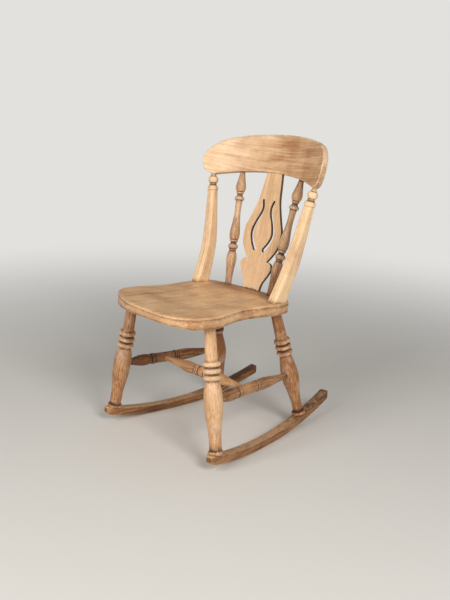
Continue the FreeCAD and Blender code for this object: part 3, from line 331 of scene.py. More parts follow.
def sawn_board(outline, holes, spacing, thickness, rounds, place):
    """A board sawn to an outline and pierced by holes, with both its faces' arrises
    rounded. place(u, v, depth) bends it and puts it in the chair. Returns its points,
    its faces, and for every point (u, v, depth) and the distance from a sawn edge."""
    outline = np.asarray(outline, float)
    holes = [np.asarray(hole, float) for hole in holes]
    edges_2d = [outline] + holes
    flat = [outline] + holes
    plain = PLAIN_ROW * max(rounds)
    constraints = []
    start = 0
    for ring in edges_2d:
        constraints += [(start + i, start + (i + 1) % len(ring)) for i in range(len(ring))]
        start += len(ring)
    for ring, way in [(outline, 1)] + [(hole, -1) for hole in holes]:
        for step in sorted({r * share for r in rounds for share in ARRIS_ROWS} | {plain}):
            moved = inset(ring, step * way)
            far = edge_distance(moved, edges_2d)
            flat.append(moved[(far > step * ROW_CLEAR) & (inside(moved, outline))])
    low, high = outline.min(0), outline.max(0)
    counts = np.maximum(np.ceil((high - low) / spacing).astype(int), 1)
    grid = np.stack(np.meshgrid(*[np.linspace(a, b, n + 1) for a, b, n in zip(low, high, counts)]), -1)
    grid = grid.reshape(-1, 2)
    grid = grid[inside(grid, outline)]
    flat.append(grid[edge_distance(grid, edges_2d) > plain + GRID_CLEAR * spacing])
    spots = np.concatenate(flat)
    for hole in holes:
        sunk = inside(spots, hole)
        sunk[:start] = False
        spots = spots[~sunk]
    verts, _, triangles, *_ = delaunay_2d_cdt([Vector(spot) for spot in spots], constraints, [], 0, 1e-4)
    verts = np.array([tuple(vert) for vert in verts])
    middles = np.array([verts[list(t)].mean(0) for t in triangles])
    kept = inside(middles, outline)
    for hole in holes:
        kept &= ~inside(middles, hole)
    triangles = [tuple(t) for t, keep in zip(triangles, kept) if keep]
    from_edge = edge_distance(verts, edges_2d)

    def bite(radius):
        """How deep the rounding of an arris goes at each point."""
        near = np.clip(1.0 - from_edge / radius, 0.0, 1.0)
        return radius * (1.0 - np.sqrt(1.0 - near ** 2))

    count = len(verts)
    where = [(u, v, d) for (u, v), d in zip(verts, bite(rounds[0]))]
    where += [(u, v, thickness - d) for (u, v), d in zip(verts, bite(rounds[1]))]
    faces = list(triangles) + [tuple(count + i for i in reversed(t)) for t in triangles]
    # Half way down each wall runs one more row of points.
    sides = {edge for a, b, c in triangles for edge in ((a, b), (b, c), (c, a))}
    middle_of = {}
    for a, b in [edge for edge in sorted(sides) if (edge[1], edge[0]) not in sides]:
        for corner in (a, b):
            if corner not in middle_of:
                middle_of[corner] = len(where)
                where.append((*verts[corner], (rounds[0] + thickness - rounds[1]) / 2))
        faces.append((b, a, middle_of[a], middle_of[b]))
        faces.append((middle_of[b], middle_of[a], count + a, count + b))
    from_edge = np.concatenate([from_edge, from_edge, np.zeros(len(where) - 2 * count)])
    return np.array([tuple(place(*spot)) for spot in where]), faces, np.array(where), from_edge


def bit_along(mouth, direction, radius, out, deep):
    """A round bit on a line, from its reach out of a hole's mouth to its reach deep in it."""
    axis = direction / np.linalg.norm(direction)
    return mouth - axis * out, axis, radius, out + deep


def bored(item, round_bits, flat_bits=()):
    """Takes holes out of a piece: round ones are (start, direction, radius, length), and
    flat ones are eight corners of a slab, the lower four and then the upper four."""
    bits = bmesh.new()
    for start, direction, radius, length in round_bits:
        turn = Vector(direction).to_track_quat("Z", "Y").to_matrix().to_4x4()
        middle = Vector(start) + Vector(direction).normalized() * length / 2
        bmesh.ops.create_cone(
            bits, cap_ends=True, segments=40, radius1=radius * MM, radius2=radius * MM,
            depth=length * MM, matrix=Matrix.Translation(middle * MM) @ turn,
        )
    for corners in flat_bits:
        spots = [bits.verts.new(Vector(corner) * MM) for corner in corners]
        for side in ((3, 2, 1, 0), (4, 5, 6, 7), (0, 1, 5, 4), (1, 2, 6, 5), (2, 3, 7, 6), (3, 0, 4, 7)):
            bits.faces.new([spots[corner] for corner in side])
        bmesh.ops.recalc_face_normals(bits, faces=bits.faces)
    bit_mesh = bpy.data.meshes.new("bits")
    bits.to_mesh(bit_mesh)
    bits.free()
    tool = bpy.data.objects.new("bits", bit_mesh)
    bpy.context.scene.collection.objects.link(tool)
    bore = item.modifiers.new("bore", "BOOLEAN")
    bore.operation = "DIFFERENCE"
    bore.solver = "EXACT"
    bore.object = tool
    bpy.context.view_layer.update()
    shape = bpy.data.meshes.new_from_object(item.evaluated_get(bpy.context.evaluated_depsgraph_get()))
    item.modifiers.clear()
    item.data = shape
    bpy.data.objects.remove(tool)


SIDES = (("right", 1), ("left", -1))
ROCKER_RADIUS, ROCKER_DEPTH, ROCKER_WIDTH = 970.0, 21.5, 27.0
ROCKER_TOUCH = (180.2, -4.0)
ROCKER_TOE_IN = 7.2
ROCKER_FRONT_RUN, ROCKER_BACK_RUN = 230.8, 306.8
FRONT_EASE, BACK_EASE, ROCKER_ARRIS, ROCKER_SPACING = 9.5, 6.5, 2.6, 9.0
FRONT_NOSE, BACK_NOSE = 16.0, 8.0
FOOT_TENON_RADIUS, FOOT_TENON_LENGTH = 9.0, 18.1
FEET = {"front": (205.5, -204.3, 43.2), "back": (158.7, 166.2, 37.1)}
LEG_HEADS = {"front": (149.0, -182.3, 362.6), "back": (119.0, 89.3, 346.4)}
# A hole is wider than its tenon by the fit all round, and a blind one is deeper by the
# gap. A bit for a through hole reaches so far both ways, and others come out clear.
FIT, END_GAP = 0.2, 0.6
ROCKER_THROUGH, SEAT_THROUGH, CLEAR = 40.0, 50.0, 30.0

rocker_wood = old_wood(
    "rocker_wood", tone(180, 128, 80), tone(92, 54, 26), tone(36, 22, 12), tone(204, 164, 122),
    polish=0.46, patches=0.6, streaks=0.5, streak_scale=260.0, bloom=0.2,
)


def rocker_height(run, up):
    """Height of the rocker's sole, or of its upper face, at a run back from its touch."""
    return ROCKER_RADIUS - math.sqrt((ROCKER_RADIUS - up) ** 2 - run ** 2)


def nose(run):
    """The rocker's share of its width, which is rounded off at both ends."""
    front = max(0.0, 1.0 - (run + ROCKER_FRONT_RUN) / FRONT_NOSE)
    back = max(0.0, 1.0 - (ROCKER_BACK_RUN - run) / BACK_NOSE)
    return 1.0 - 0.5 * front ** 2 - 0.3 * back ** 2


def mirrored(point, side):
    """A point of the right side, put on the side that is asked for."""
    return np.array([side * point[0], point[1], point[2]])


def leg_line(end, side):
    """The middles of a leg's foot, on the rocker, and of its head, in the seat."""
    return mirrored(FEET[end], side), mirrored(LEG_HEADS[end], side)


runs_back = np.linspace(-ROCKER_FRONT_RUN, ROCKER_BACK_RUN, 90)
sole = [(run, rocker_height(run, 0.0)) for run in runs_back]
upper = [(run, rocker_height(run, ROCKER_DEPTH)) for run in runs_back[::-1]]
rocker_outline = closed_outline(
    [sole, [sole[-1], upper[0]], upper, [upper[-1], sole[0]]], [FRONT_EASE, BACK_EASE, BACK_EASE, FRONT_EASE]
)

for side_name, side in SIDES:
    turn = Matrix.Rotation(math.radians(90.0 + side * ROCKER_TOE_IN), 3, "Z")
    touch = Vector((side * ROCKER_TOUCH[0], ROCKER_TOUCH[1], 0.0))
    points, faces, where, from_edge = sawn_board(
        rocker_outline, [], ROCKER_SPACING, ROCKER_WIDTH, (ROCKER_ARRIS, ROCKER_ARRIS),
        lambda run, up, depth: turn @ Vector((run, (ROCKER_WIDTH / 2 - depth) * nose(run), up)) + touch,
    )
    grain = np.stack([where[:, 2] + 60.0 * side, where[:, 1] + 25.0, where[:, 0]], 1)
    run = where[:, 0]
    height = where[:, 1] - np.array([rocker_height(spot, 0.0) for spot in run])
    tops = ramp(height, ROCKER_DEPTH - 3.0, ROCKER_DEPTH)
    # The tops darken towards the back, under the seat, the left rocker's the more: partly dirt and partly
    # painted shade. The wood is paler towards the front nose.
    wear_and_shade = 0.8 * swell(from_edge, 0.0, 2.4) - 0.1 - (0.5 - 0.25 * side) * tops * ramp(run, 60.0, 180.0)
    shade = 0.6 * ramp(run, -90.0, -200.0) - 0.2 - (0.45 + 0.4 * np.clip(run / 200.0, -1.0, 1.0)) * tops
    # The end grain at both noses has taken up the dirt of the floor.
    wear_and_shade[(run < 1.2 - ROCKER_FRONT_RUN) | (run > ROCKER_BACK_RUN - 1.2)] = -0.55
    rocker = make_piece(
        "curved_rocker_" + side_name, points, faces, grain, wear_and_shade, shade, rocker_wood,
        [side_name + "_rocker"],
    )
    foot_bits = []
    for end in ("front", "back"):
        foot, head = leg_line(end, side)
        foot_bits.append(
            bit_along(foot, head - foot, FOOT_TENON_RADIUS + FIT, ROCKER_THROUGH, ROCKER_THROUGH)
        )
    bored(rocker, foot_bits)


# The legs: four of beech, turned with three rings, a long belly and a collar at the
# foot. Their plain tops drive into the seat, and a tenon goes down through each rocker.
# Old polish has dried pale on the swells and dark in the grooves between the rings.
AROUND, LATHE_STEP = 56, 0.25
# Edges are softened over the first spread, and what stands proud is told by the second.
EDGE_SPREAD, SWELL_SPREAD = 0.45, 3.6
# Between two rings the turning's side is this straight, and there are at most so many steps.
STRAIGHTNESS, LONGEST_RUN = 0.035, 24
SHRINKAGE, BEAD_STEPS = 0.012, 24
# Old dirt and painted contact shade about a joint, and a wider darkening around it, partly
# painted shade under the seat and partly the wood's own stain, each with its reach.
JOINT_GRIME_AND_SHADE, GRIME_REACH, JOINT_SHADE, SHADE_REACH = 0.9, 4.5, 0.45, 28.0


def fair(points, steps=10):
    """A smooth curve through the points, in even steps between each two of them."""
    points = np.asarray(points, float)
    gaps = np.linalg.norm(np.diff(points, axis=0), axis=1)
    system = np.eye(len(points))
    pull = np.zeros_like(points)
    for i in range(1, len(points) - 1):
        system[i, i - 1:i + 2] = gaps[i - 1], 2 * (gaps[i - 1] + gaps[i]), gaps[i]
        pull[i] = 6 * ((points[i + 1] - points[i]) / gaps[i] - (points[i] - points[i - 1]) / gaps[i - 1])
    bend = np.linalg.solve(system, pull)
    curve = []
    for i, gap in enumerate(gaps):
        for share in np.arange(steps) / steps:
            rest = 1.0 - share
            bulge = (rest ** 3 - rest) * bend[i] + (share ** 3 - share) * bend[i + 1]
            curve.append(rest * points[i] + share * points[i + 1] + bulge * gap ** 2 / 6)
    return np.array(curve + [points[-1]])


def softened(values, reach):
    """Values taken at every lathe step, averaged over a reach on both sides."""
    size = int(3 * reach / LATHE_STEP)
    weights = np.exp(-0.5 * (np.arange(-size, size + 1) * LATHE_STEP / reach) ** 2)
    padded = np.pad(values, size, mode="edge")
    return np.convolve(padded, weights / weights.sum(), mode="valid")


def lathe_rings(rows, edge_gain=0.42, crown_gain=0.85):
    """Rings of points for a turning on +z, and each ring's wear. Rows are (kind, station,
    radius): line runs straight there, curve is faired through its neighbours, and bead
    is a round moulding that stands out to the radius and comes back. The gains say how
    strongly grooves are grimed, and how much of that goes to rubbing the crowns."""
    path = [(rows[0][1], rows[0][2])]
    curve = []
    for kind, station, radius in rows[1:]:
        if kind == "curve":
            curve.append((station, radius))
            continue
        if curve:
            path += [tuple(point) for point in fair([path[-1]] + curve)[1:]]
            curve = []
        if kind == "bead":
            low, base = path[-1]
            half, rise = (station - low) / 2, radius - base
            swing = (half ** 2 + rise ** 2) / (2 * rise)
            for run in np.linspace(-half, half, BEAD_STEPS + 1)[1:]:
                path.append((low + half + run, base + rise - swing + math.sqrt(swing ** 2 - run ** 2)))
        else:
            path.append((station, radius))
    path = np.array(path)
    stations = np.arange(path[0, 0], path[-1, 0] + 0.01, LATHE_STEP)
    radii = softened(np.interp(stations, path[:, 0], path[:, 1]), EDGE_SPREAD)
    proud = np.clip((radii - softened(radii, SWELL_SPREAD)) * edge_gain, -1.0, 1.0)
    proud = np.where(proud > 0.0, crown_gain * proud, proud)
    kept = [0]
    while kept[-1] < len(stations) - 1:
        reach = kept[-1] + 1
        while reach < len(stations) - 1 and reach - kept[-1] < LONGEST_RUN:
            span = radii[kept[-1]:reach + 2]
            if np.abs(span - np.linspace(span[0], span[-1], len(span))).max() > STRAIGHTNESS:
                break
            reach += 1
        kept.append(reach)
    angle = np.linspace(0.0, 2.0 * math.pi, AROUND, endpoint=False)
    # Dry wood shrinks across its fibres, so no old turning is quite round.
    across = 1.0 - SHRINKAGE * np.cos(angle) ** 2
    rings = []
    for k in kept:
        ring = [radii[k] * across * np.cos(angle), radii[k] * np.sin(angle), np.full(AROUND, stations[k])]
        rings.append(np.stack(ring, 1))
    return rings, list(proud[kept])


def skin(rings):
    """The faces of a closed tube through rings of points, from the lowest up."""
    faces = [tuple(reversed(range(AROUND)))]
    for level in range(len(rings) - 1):
        low, high = level * AROUND, (level + 1) * AROUND
        for i in range(AROUND):
            j = (i + 1) % AROUND
            faces.append((low + i, low + j, high + j, high + i))
    faces.append(tuple(range((len(rings) - 1) * AROUND, len(rings) * AROUND)))
    return faces


def stand(start, end):
    """Axes of a piece that stands on start and points to end, with x kept to the right."""
    up = np.asarray(end, float) - np.asarray(start, float)
    up /= np.linalg.norm(up)
    right = np.array([1.0, 0.0, 0.0]) - up * up[0]
    right /= np.linalg.norm(right)
    return np.stack([right, np.cross(up, right), up], 1)


def turned_piece(name, rings, wear_and_shade, start, end, pith, shade, joints, wood, node):
    """A turning put in its place, its grain's heart off to one side by pith, with old
    dirt and painted shade about the stations of its joints."""
    local = np.concatenate(rings)
    points = local @ stand(start, end).T + np.asarray(start, float)
    wear_and_shade = np.repeat(wear_and_shade, AROUND)
    shade = np.full(len(points), shade)
    for joint in joints:
        wear_and_shade = wear_and_shade - JOINT_GRIME_AND_SHADE * swell(local[:, 2], joint, GRIME_REACH)
        shade = shade - JOINT_SHADE * swell(local[:, 2], joint, SHADE_REACH)
    make_piece(name, points, skin(rings), local + np.array(pith), wear_and_shade, shade, wood, [node])


LEG_RING_RADIUS, LEG_RING_HEIGHT, LEG_GROOVE = 22.6, 17.2, 16.6
LEG_BULGE, LEG_SHANK, LEG_TOP, LEG_COLLAR, LEG_COLLAR_HEIGHT = 24.3, 16.2, 14.2, 20.0, 11.0
LEG_PAD = LEG_COLLAR * 0.84
LEG_RING_GAP, LEG_SOCKET_DEPTH, FOOT_LEVELLINGS = 1.9, 21.0, 6
LEG_NECK = {"front": 16.0, "back": 13.6}
LEG_SHANK_LENGTH = {"front": 88.0, "back": 84.0}
LEG_BELLY = {
    "front": ((0.05, 0.80), (0.13, 0.93), (0.25, 1.0), (0.40, 0.97), (0.53, 0.87), (0.66, 0.75)),
    "back": ((0.06, 0.76), (0.16, 0.87), (0.33, 1.0), (0.46, 0.95), (0.60, 0.77), (0.74, 0.63)),
}
PITH = {
    "front_right": (21, 9, 300), "front_left": (-24, 13, 900),
    "back_right": (17, -20, 1500), "back_left": (26, 12, 2100),
}
# The legs are painted in light and shade: the back legs and the front left one darker, as
# they stand in the seat's shade, and the front right one a little paler, as it stands in the light.
LEG_PAINTED_SHADE = {"front_right": 0.15, "front_left": -0.5, "back_right": -0.65, "back_left": -0.85}

leg_wood = old_wood(
    "leg_wood", tone(234, 192, 146), tone(150, 94, 48), tone(44, 26, 14), tone(242, 214, 180),
    polish=0.40, patches=0.5, streaks=0.42, streak_scale=480.0, rings_show=0.16, bloom=0.65,
    rub_reach=(0.22, 0.8),
)


def leg_rows(end, length):
    """The turner's rows for a leg, from its foot on the rocker up to its head in the seat."""
    ring_top = length - LEG_SHANK_LENGTH[end]
    ring_low = ring_top - 3 * LEG_RING_HEIGHT
    belly_top = ring_low - 0.1 * LEG_RING_HEIGHT
    belly = belly_top - LEG_COLLAR_HEIGHT
    rows = [
        ("line", 0.0, LEG_PAD),
        ("bead", LEG_COLLAR_HEIGHT, LEG_COLLAR),
        ("line", LEG_COLLAR_HEIGHT, LEG_NECK[end]),
        ("curve", LEG_COLLAR_HEIGHT + belly * (1 - LEG_BELLY[end][-1][0]) / 2, LEG_NECK[end]),
    ]
    for down, girth in reversed(LEG_BELLY[end]):
        rows.append(("curve", belly_top - belly * down, LEG_BULGE * girth))
    rows += [("curve", belly_top, LEG_SHANK), ("line", ring_low, LEG_GROOVE)]
    for count in range(3):
        start = ring_low + count * LEG_RING_HEIGHT
        stop = start + LEG_RING_HEIGHT
        rows += [
            ("line", start + LEG_RING_GAP, LEG_GROOVE), ("bead", stop - LEG_RING_GAP, LEG_RING_RADIUS),
            ("line", stop, LEG_GROOVE),
        ]
    return rows + [
        ("line", ring_top, LEG_SHANK), ("curve", length - LEG_TOP, LEG_TOP),
        ("line", length + LEG_SOCKET_DEPTH, LEG_TOP),
    ]


for end in ("front", "back"):
    for side_name, side in SIDES:
        foot, head = leg_line(end, side)
        length = np.linalg.norm(head - foot)
        rings, wear_and_shade = lathe_rings(leg_rows(end, length))
        # The foot is hollowed to sit on the rocker, and its tenon goes on down.
        axes = stand(foot, head)
        toe = math.radians(ROCKER_TOE_IN)
        base = rings[0].copy()
        for _ in range(FOOT_LEVELLINGS):
            spots = base @ axes.T + foot
            out, back = side * spots[:, 0] - ROCKER_TOUCH[0], spots[:, 1] - ROCKER_TOUCH[1]
            run = back * math.cos(toe) - out * math.sin(toe)
            level = ROCKER_RADIUS - np.sqrt((ROCKER_RADIUS - ROCKER_DEPTH) ** 2 - run ** 2)
            base[:, 2] += (level - spots[:, 2]) / axes[2, 2]
        low = base[:, 2].max() + 0.3
        higher = [(ring, mark) for ring, mark in zip(rings, wear_and_shade) if ring[0, 2] > low]
        slim = FOOT_TENON_RADIUS / LEG_PAD
        tip = rings[0] * [slim, slim, 0.0] - [0.0, 0.0, FOOT_TENON_LENGTH]
        rings = [tip, base * [slim, slim, 1.0], base] + [ring for ring, _ in higher]
        wear_and_shade = [0.1, -0.8, -0.8] + [mark for _, mark in higher]
        name = end + "_" + side_name
        turned_piece(
            "turned_leg_" + name, rings, wear_and_shade, foot, head, PITH[name], LEG_PAINTED_SHADE[name],
            (LEG_COLLAR_HEIGHT + 3.0, length), leg_wood, name + "_leg",
        )


# The foot wedges: four small ones, driven up into the split ends of the foot tenons
# below the rockers, to spread them. They are the plain sawn pieces of the CAD model.
wedge_wood = bpy.data.materials.new("wedge_wood")
add = fresh_nodes(wedge_wood)
spot = add("TexCoord").outputs["Object"]
lengthwise = add("Mapping", ("Vector", spot), ("Scale", (1.0, 1.0, 0.08)))
fibres = add("TexNoise", ("Vector", lengthwise), ("Scale", 700.0), ("Detail", 3.0))
dirt = add("TexNoise", ("Vector", spot), ("Scale", 160.0), ("Detail", 4.0))
dirt_share = add("MapRange", ("Value", dirt), ("From Min", 0.45), ("From Max", 0.7), ("To Max", 0.7))
fibrous = add("MixRGB", ("Fac", fibres), ("Color1", tone(128, 88, 54)), ("Color2", tone(72, 46, 28)))
dirtied = add("MixRGB", ("Fac", dirt_share), ("Color1", fibrous), ("Color2", tone(46, 31, 22)))
uneven = add("Bump", ("Strength", 0.5), ("Distance", 0.0003), ("Height", fibres))
sawn = add("BsdfPrincipled", ("Roughness", 0.68), ("IOR", 1.47), ("Base Color", dirtied), ("Normal", uneven))
add("OutputMaterial", ("Surface", sawn))


def dress(node, wood):
    """Gives a CAD node its material."""
    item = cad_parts[node]
    item.data.materials.clear()
    item.data.materials.append(wood)


for end in ("front", "back"):
    for side_name, side in SIDES:
        dress(end + "_" + side_name + "_foot_wedge", wedge_wood)


# The side stretchers: two of beech, turned with a bulb near the front and two pairs of
# rings, that run down a little to the back and are socketed in the bellies of the legs.
STRETCHER_BODY, STRETCHER_BULB, STRETCHER_CROWN, STRETCHER_RING = 14.2, 15.9, 15.6, 5.6
STRETCHER_END, STRETCHER_SOCKET, STRETCHER_GROOVE, STRETCHER_NECK = 8.4, 17.0, 11.0, 13.4
FRONT_RINGS, BACK_RINGS = 99.0, 177.0
GROOVE_OUTSIDE, GROOVE_INSIDE, GROOVE_BETWEEN = 1.2, 1.1, 0.7
# How strongly the stretchers' grooves are grimed, and their crowns rubbed.
STRETCHER_GAINS = (1.1, 0.3)
STRETCHER_FRONT, STRETCHER_BACK = (181.8, -195.1, 177.0), (143.2, 136.1, 158.0)

stretcher_wood = old_wood(
    "stretcher_wood", tone(202, 154, 108), tone(112, 68, 34), tone(36, 22, 12), tone(222, 188, 150),
    polish=0.40, patches=0.5, streaks=0.5, streak_scale=230.0, bloom=0.35, rub_reach=(0.22, 0.8),
)


def ring_pair(middle):
    """Two beads about a station, between three narrow grooves."""
    low, high = middle - STRETCHER_RING, middle + STRETCHER_RING
    return [
        ("line", low - GROOVE_OUTSIDE, STRETCHER_GROOVE), ("line", low + GROOVE_INSIDE, STRETCHER_GROOVE),
        ("bead", middle - GROOVE_BETWEEN, STRETCHER_CROWN),
        ("line", middle + GROOVE_BETWEEN, STRETCHER_GROOVE),
        ("bead", high - GROOVE_INSIDE, STRETCHER_CROWN), ("line", high + GROOVE_OUTSIDE, STRETCHER_GROOVE),
    ]


for side_name, side in SIDES:
    start, finish = mirrored(STRETCHER_FRONT, side), mirrored(STRETCHER_BACK, side)
    length = np.linalg.norm(finish - start)
    buried = LEG_BULGE - STRETCHER_SOCKET
    tail = length - LEG_BULGE - BACK_RINGS
    rows = [("line", buried, STRETCHER_END), ("line", LEG_BULGE, STRETCHER_END)]
    rows += [
        ("curve", FRONT_RINGS * run, STRETCHER_BULB * girth)
        for run, girth in ((0.38, 0.70), (0.54, 0.92), (0.68, 1.0), (0.80, 0.96))
    ]
    rows.append(("curve", FRONT_RINGS - 1.5 * STRETCHER_RING, STRETCHER_NECK))
    for middle in (FRONT_RINGS, BACK_RINGS):
        if middle == BACK_RINGS:
            rows.append(("line", BACK_RINGS - 1.3 * STRETCHER_RING, STRETCHER_BODY))
        rows += ring_pair(middle)
        rows.append(("line", middle + 1.4 * STRETCHER_RING, STRETCHER_BODY))
    rows += [
        ("curve", BACK_RINGS + tail * run, girth)
        for run, girth in ((0.14, 15.6), (0.27, 15.8), (0.44, 14.0), (0.62, 11.3), (0.80, 9.1), (0.92, 8.5))
    ]
    rows += [("curve", length - LEG_BULGE, STRETCHER_END), ("line", length - buried, STRETCHER_END)]
    rings, wear_and_shade = lathe_rings(rows, *STRETCHER_GAINS)
    # Both side stretchers are painted darker, as shade, the left and farther one the more.
    turned_piece(
        "turned_side_stretcher_" + side_name, rings, wear_and_shade, start, finish, (15, 10, 3000 + 400 * side),
        0.25 * side - 0.45, (LEG_BULGE - 1.0, length - LEG_BULGE + 1.0), stretcher_wood,
        side_name + "_side_stretcher",
    )


# The cross stretcher: one of beech, turned with a long bead in the middle between two
# pairs of rings, that ties the side stretchers together. Its ends taper to the sockets.
CROSS_CROWN, CROSS_RING, CROSS_BEAD = 15.2, 6.6, 12.0
CROSS_GROOVE, CROSS_GAP = CROSS_CROWN * 0.8, 0.8
CROSS_END, CROSS_SOCKET = 6.6, 9.0
CROSS_START = (-166.0, -59.2, 169.2)

middle = -CROSS_START[0]
group = CROSS_BEAD + 2 * CROSS_RING
taper = middle - group - STRETCHER_BODY
half = [
    (STRETCHER_BODY + run * taper, girth)
    for run, girth in ((0.18, 8.4), (0.42, 11.2), (0.60, 14.0), (0.75, 15.7), (0.88, 14.8), (0.97, 12.8))
]
rows = [("line", STRETCHER_BODY - CROSS_SOCKET, CROSS_END), ("line", STRETCHER_BODY, CROSS_END)]
rows += [("curve", run, girth) for run, girth in half]
rows.append(("line", middle - group, CROSS_GROOVE))
for station, reach in (
    (-CROSS_BEAD - CROSS_RING, CROSS_RING), (-CROSS_BEAD, CROSS_RING), (CROSS_BEAD, 2 * CROSS_BEAD),
    (CROSS_BEAD + CROSS_RING, CROSS_RING), (group, CROSS_RING),
):
    stop = middle + station
    rows += [
        ("line", stop - reach + CROSS_GAP, CROSS_GROOVE), ("bead", stop - CROSS_GAP, CROSS_CROWN),
        ("line", stop, CROSS_GROOVE),
    ]
rows.append(("line", 2 * middle - half[-1][0], half[-1][1]))
rows += [("curve", 2 * middle - run, girth) for run, girth in reversed(half[:-1])]
shoulder = 2 * middle - STRETCHER_BODY
rows += [("curve", shoulder, CROSS_END), ("line", shoulder + CROSS_SOCKET, CROSS_END)]
rings, wear_and_shade = lathe_rings(rows, *STRETCHER_GAINS)
local = np.concatenate(rings)
# It lies across the chair, so its own length is the chair's x.
make_piece(
    "turned_cross_stretcher", local[:, [2, 0, 1]] + np.array(CROSS_START), skin(rings),
    local + np.array([19, -8, 4200]), np.repeat(wear_and_shade, AROUND), np.full(len(local), 0.4), stretcher_wood,
    ["cross_stretcher"],
)


# The seat boards: two, probably of elm or beech, glued edge to edge, sawn by eye to a
# serpentine outline, dished for the sitter, rounded on top and bevelled below the bowed
# front. The arris is worn pale, with old dirt along the edges.
SEAT_HEIGHT, SEAT_TILT, SEAT_THICKNESS = 381.8, 3.4, 30.0
SEAT_FRONT, SEAT_BACK, SEAT_LOBE, SEAT_WAIST, SEAT_REAR = 300.8, 130.2, 187.0, 158.5, 168.5
SEAT_JOINT = -92.0
DISH_DEPTH, DISH_CURVE, DISH_FORWARD = 6.0, 60.0, 87.8
DISH_ACROSS, DISH_ALONG = 325.8, 321.2
DISH_FADES, DISH_SOFTNESS = 14.0, 0.45
BEVEL_DEPTH, BEVEL_RUN, BEVEL_FROM, BEVEL_GROWS = 8.0, 46.0, 8.0, 20.0
SEAT_ARRISES, CORNER_EASE, BOARD_SPACING = (5.0, 1.6), 4.0, 7.0
LOBES = {
    1: (
        (0.241, 0.992), (0.492, 1.0), (0.695, 0.977), (0.834, 0.924), (0.93, 0.837), (0.984, 0.731),
        (1.0, 0.658), (0.981, 0.568), (0.922, 0.4415), (0.866, 0.295),
    ),
    -1: (
        (0.241, 0.954), (0.4545, 0.9025), (0.642, 0.84), (0.802, 0.774), (0.909, 0.701), (0.949, 0.624),
        (0.952, 0.5445), (0.928, 0.4615), (0.893, 0.358),
    ),
}
WAISTS = {1: ((1.0, 0.1955), (1.016, 0.106)), -1: ((1.025, 0.2586), (1.009, 0.1656), (1.028, 0.0625))}
REAR = ((0.979, 0.009), (1.0, 0.293), (0.991, 0.493), (0.961, 0.677), (0.896, 0.823), (0.819, 0.896))

seat_wood = old_wood(
    "seat_wood", tone(246, 203, 152), tone(182, 132, 88), tone(58, 36, 21), tone(244, 214, 172),
    figure=38.0, polish=0.38, patches=0.65, streaks=0.3, streak_scale=230.0, rings_show=0.14, bloom=0.22,
    rub_reach=(0.3, 0.95),
)

halves = {}
for _, side in SIDES:
    halves[side] = [(side * SEAT_LOBE * across, -SEAT_FRONT * reach) for across, reach in LOBES[side]]
    halves[side] += [(side * SEAT_WAIST * across, -SEAT_FRONT * reach) for across, reach in WAISTS[side]]
    halves[side] += [(side * SEAT_REAR * across, SEAT_BACK * reach) for across, reach in REAR]
sides_run = fair(halves[-1][::-1] + [(0.0, -SEAT_FRONT * 0.98)] + halves[1], 8)
back_run = fair([halves[1][-1], (75.0, 126.1), (0.0, SEAT_BACK), (-75.0, 126.1), halves[-1][-1]], 10)
seat_outline = closed_outline([sides_run, back_run], [CORNER_EASE, CORNER_EASE])

seat_turn = Matrix.Rotation(math.radians(-SEAT_TILT), 3, "X")


def on_seat(across, back, above):
    """A point given in the seat's own frame, on its tilted top."""
    return seat_turn @ Vector((across, back, above)) + Vector((0.0, 0.0, SEAT_HEIGHT))


def hollow(across, back):
    """Depth of the dish, whose rim long use has softened."""
    share = 1.0 - (across / DISH_ACROSS) ** 2 - ((back + DISH_FORWARD) / DISH_ALONG) ** 2
    deep = DISH_CURVE * math.sqrt(max(share, 0.0)) - (DISH_CURVE - DISH_DEPTH)
    if deep <= -6.0:
        return 0.0
    return DISH_SOFTNESS * math.log1p(math.exp(min(deep / DISH_SOFTNESS, 40.0)))


def seat_place(across, back, depth):
    """Where a point of the flat board lies, once that is dished, bevelled and tilted."""
    top = max(0.0, 1.0 - depth / DISH_FADES)
    bottom = min(1.0, max(0.0, (depth - BEVEL_FROM) / BEVEL_GROWS))
    lift = max(0.0, -(SEAT_FRONT - BEVEL_RUN) - back) * BEVEL_DEPTH / BEVEL_RUN
    return on_seat(across, back, -depth - top * hollow(across, back) + bottom * lift)


points, faces, where, from_edge = sawn_board(
    seat_outline, [], BOARD_SPACING, SEAT_THICKNESS, SEAT_ARRISES, seat_place
)
across, back, deep = where.T
grain = np.stack([across * 0.8 + 34.0, deep + 38.0 + 0.06 * across, back + 700.0], 1)
on_top, on_side = ramp(deep, 12.0, 0.0), from_edge < SAWN
# The upper arris is rubbed, with a dark line just under it on the sawn side, and the
# sawn side darkens towards the bottom. Behind the back's feet the top is painted darker, as shade.
wear_and_shade = 0.5 * swell(from_edge, 3.0, 3.0) * on_top - 0.7 * on_side * swell(deep, 5.0, 2.0)
wear_and_shade -= 0.22 * ramp(back, 62.0, 82.0) * on_top + 0.6 * on_side * ramp(deep, 18.0, 26.0)
# The middle of the dish is painted paler, as a highlight. The rim behind the back's
# feet is painted with the shadow that the stiles, spindles and splat cast on it, and the
# sawn sides are darker than the top.
painted_dish_highlight = swell(across, 0.0, 120.0) * swell(back, -60.0, 110.0)
behind = ramp(back, 66.0, 88.0) * ramp(np.abs(across), 140.0, 114.0)
shade = 0.35 * painted_dish_highlight - 0.15 - 1.3 * behind * on_top - 0.35 * (1.0 - on_top)
seat = make_piece(
    "dished_seat", points, faces, grain, wear_and_shade, shade, seat_wood, ["seat_wide_board"]
)

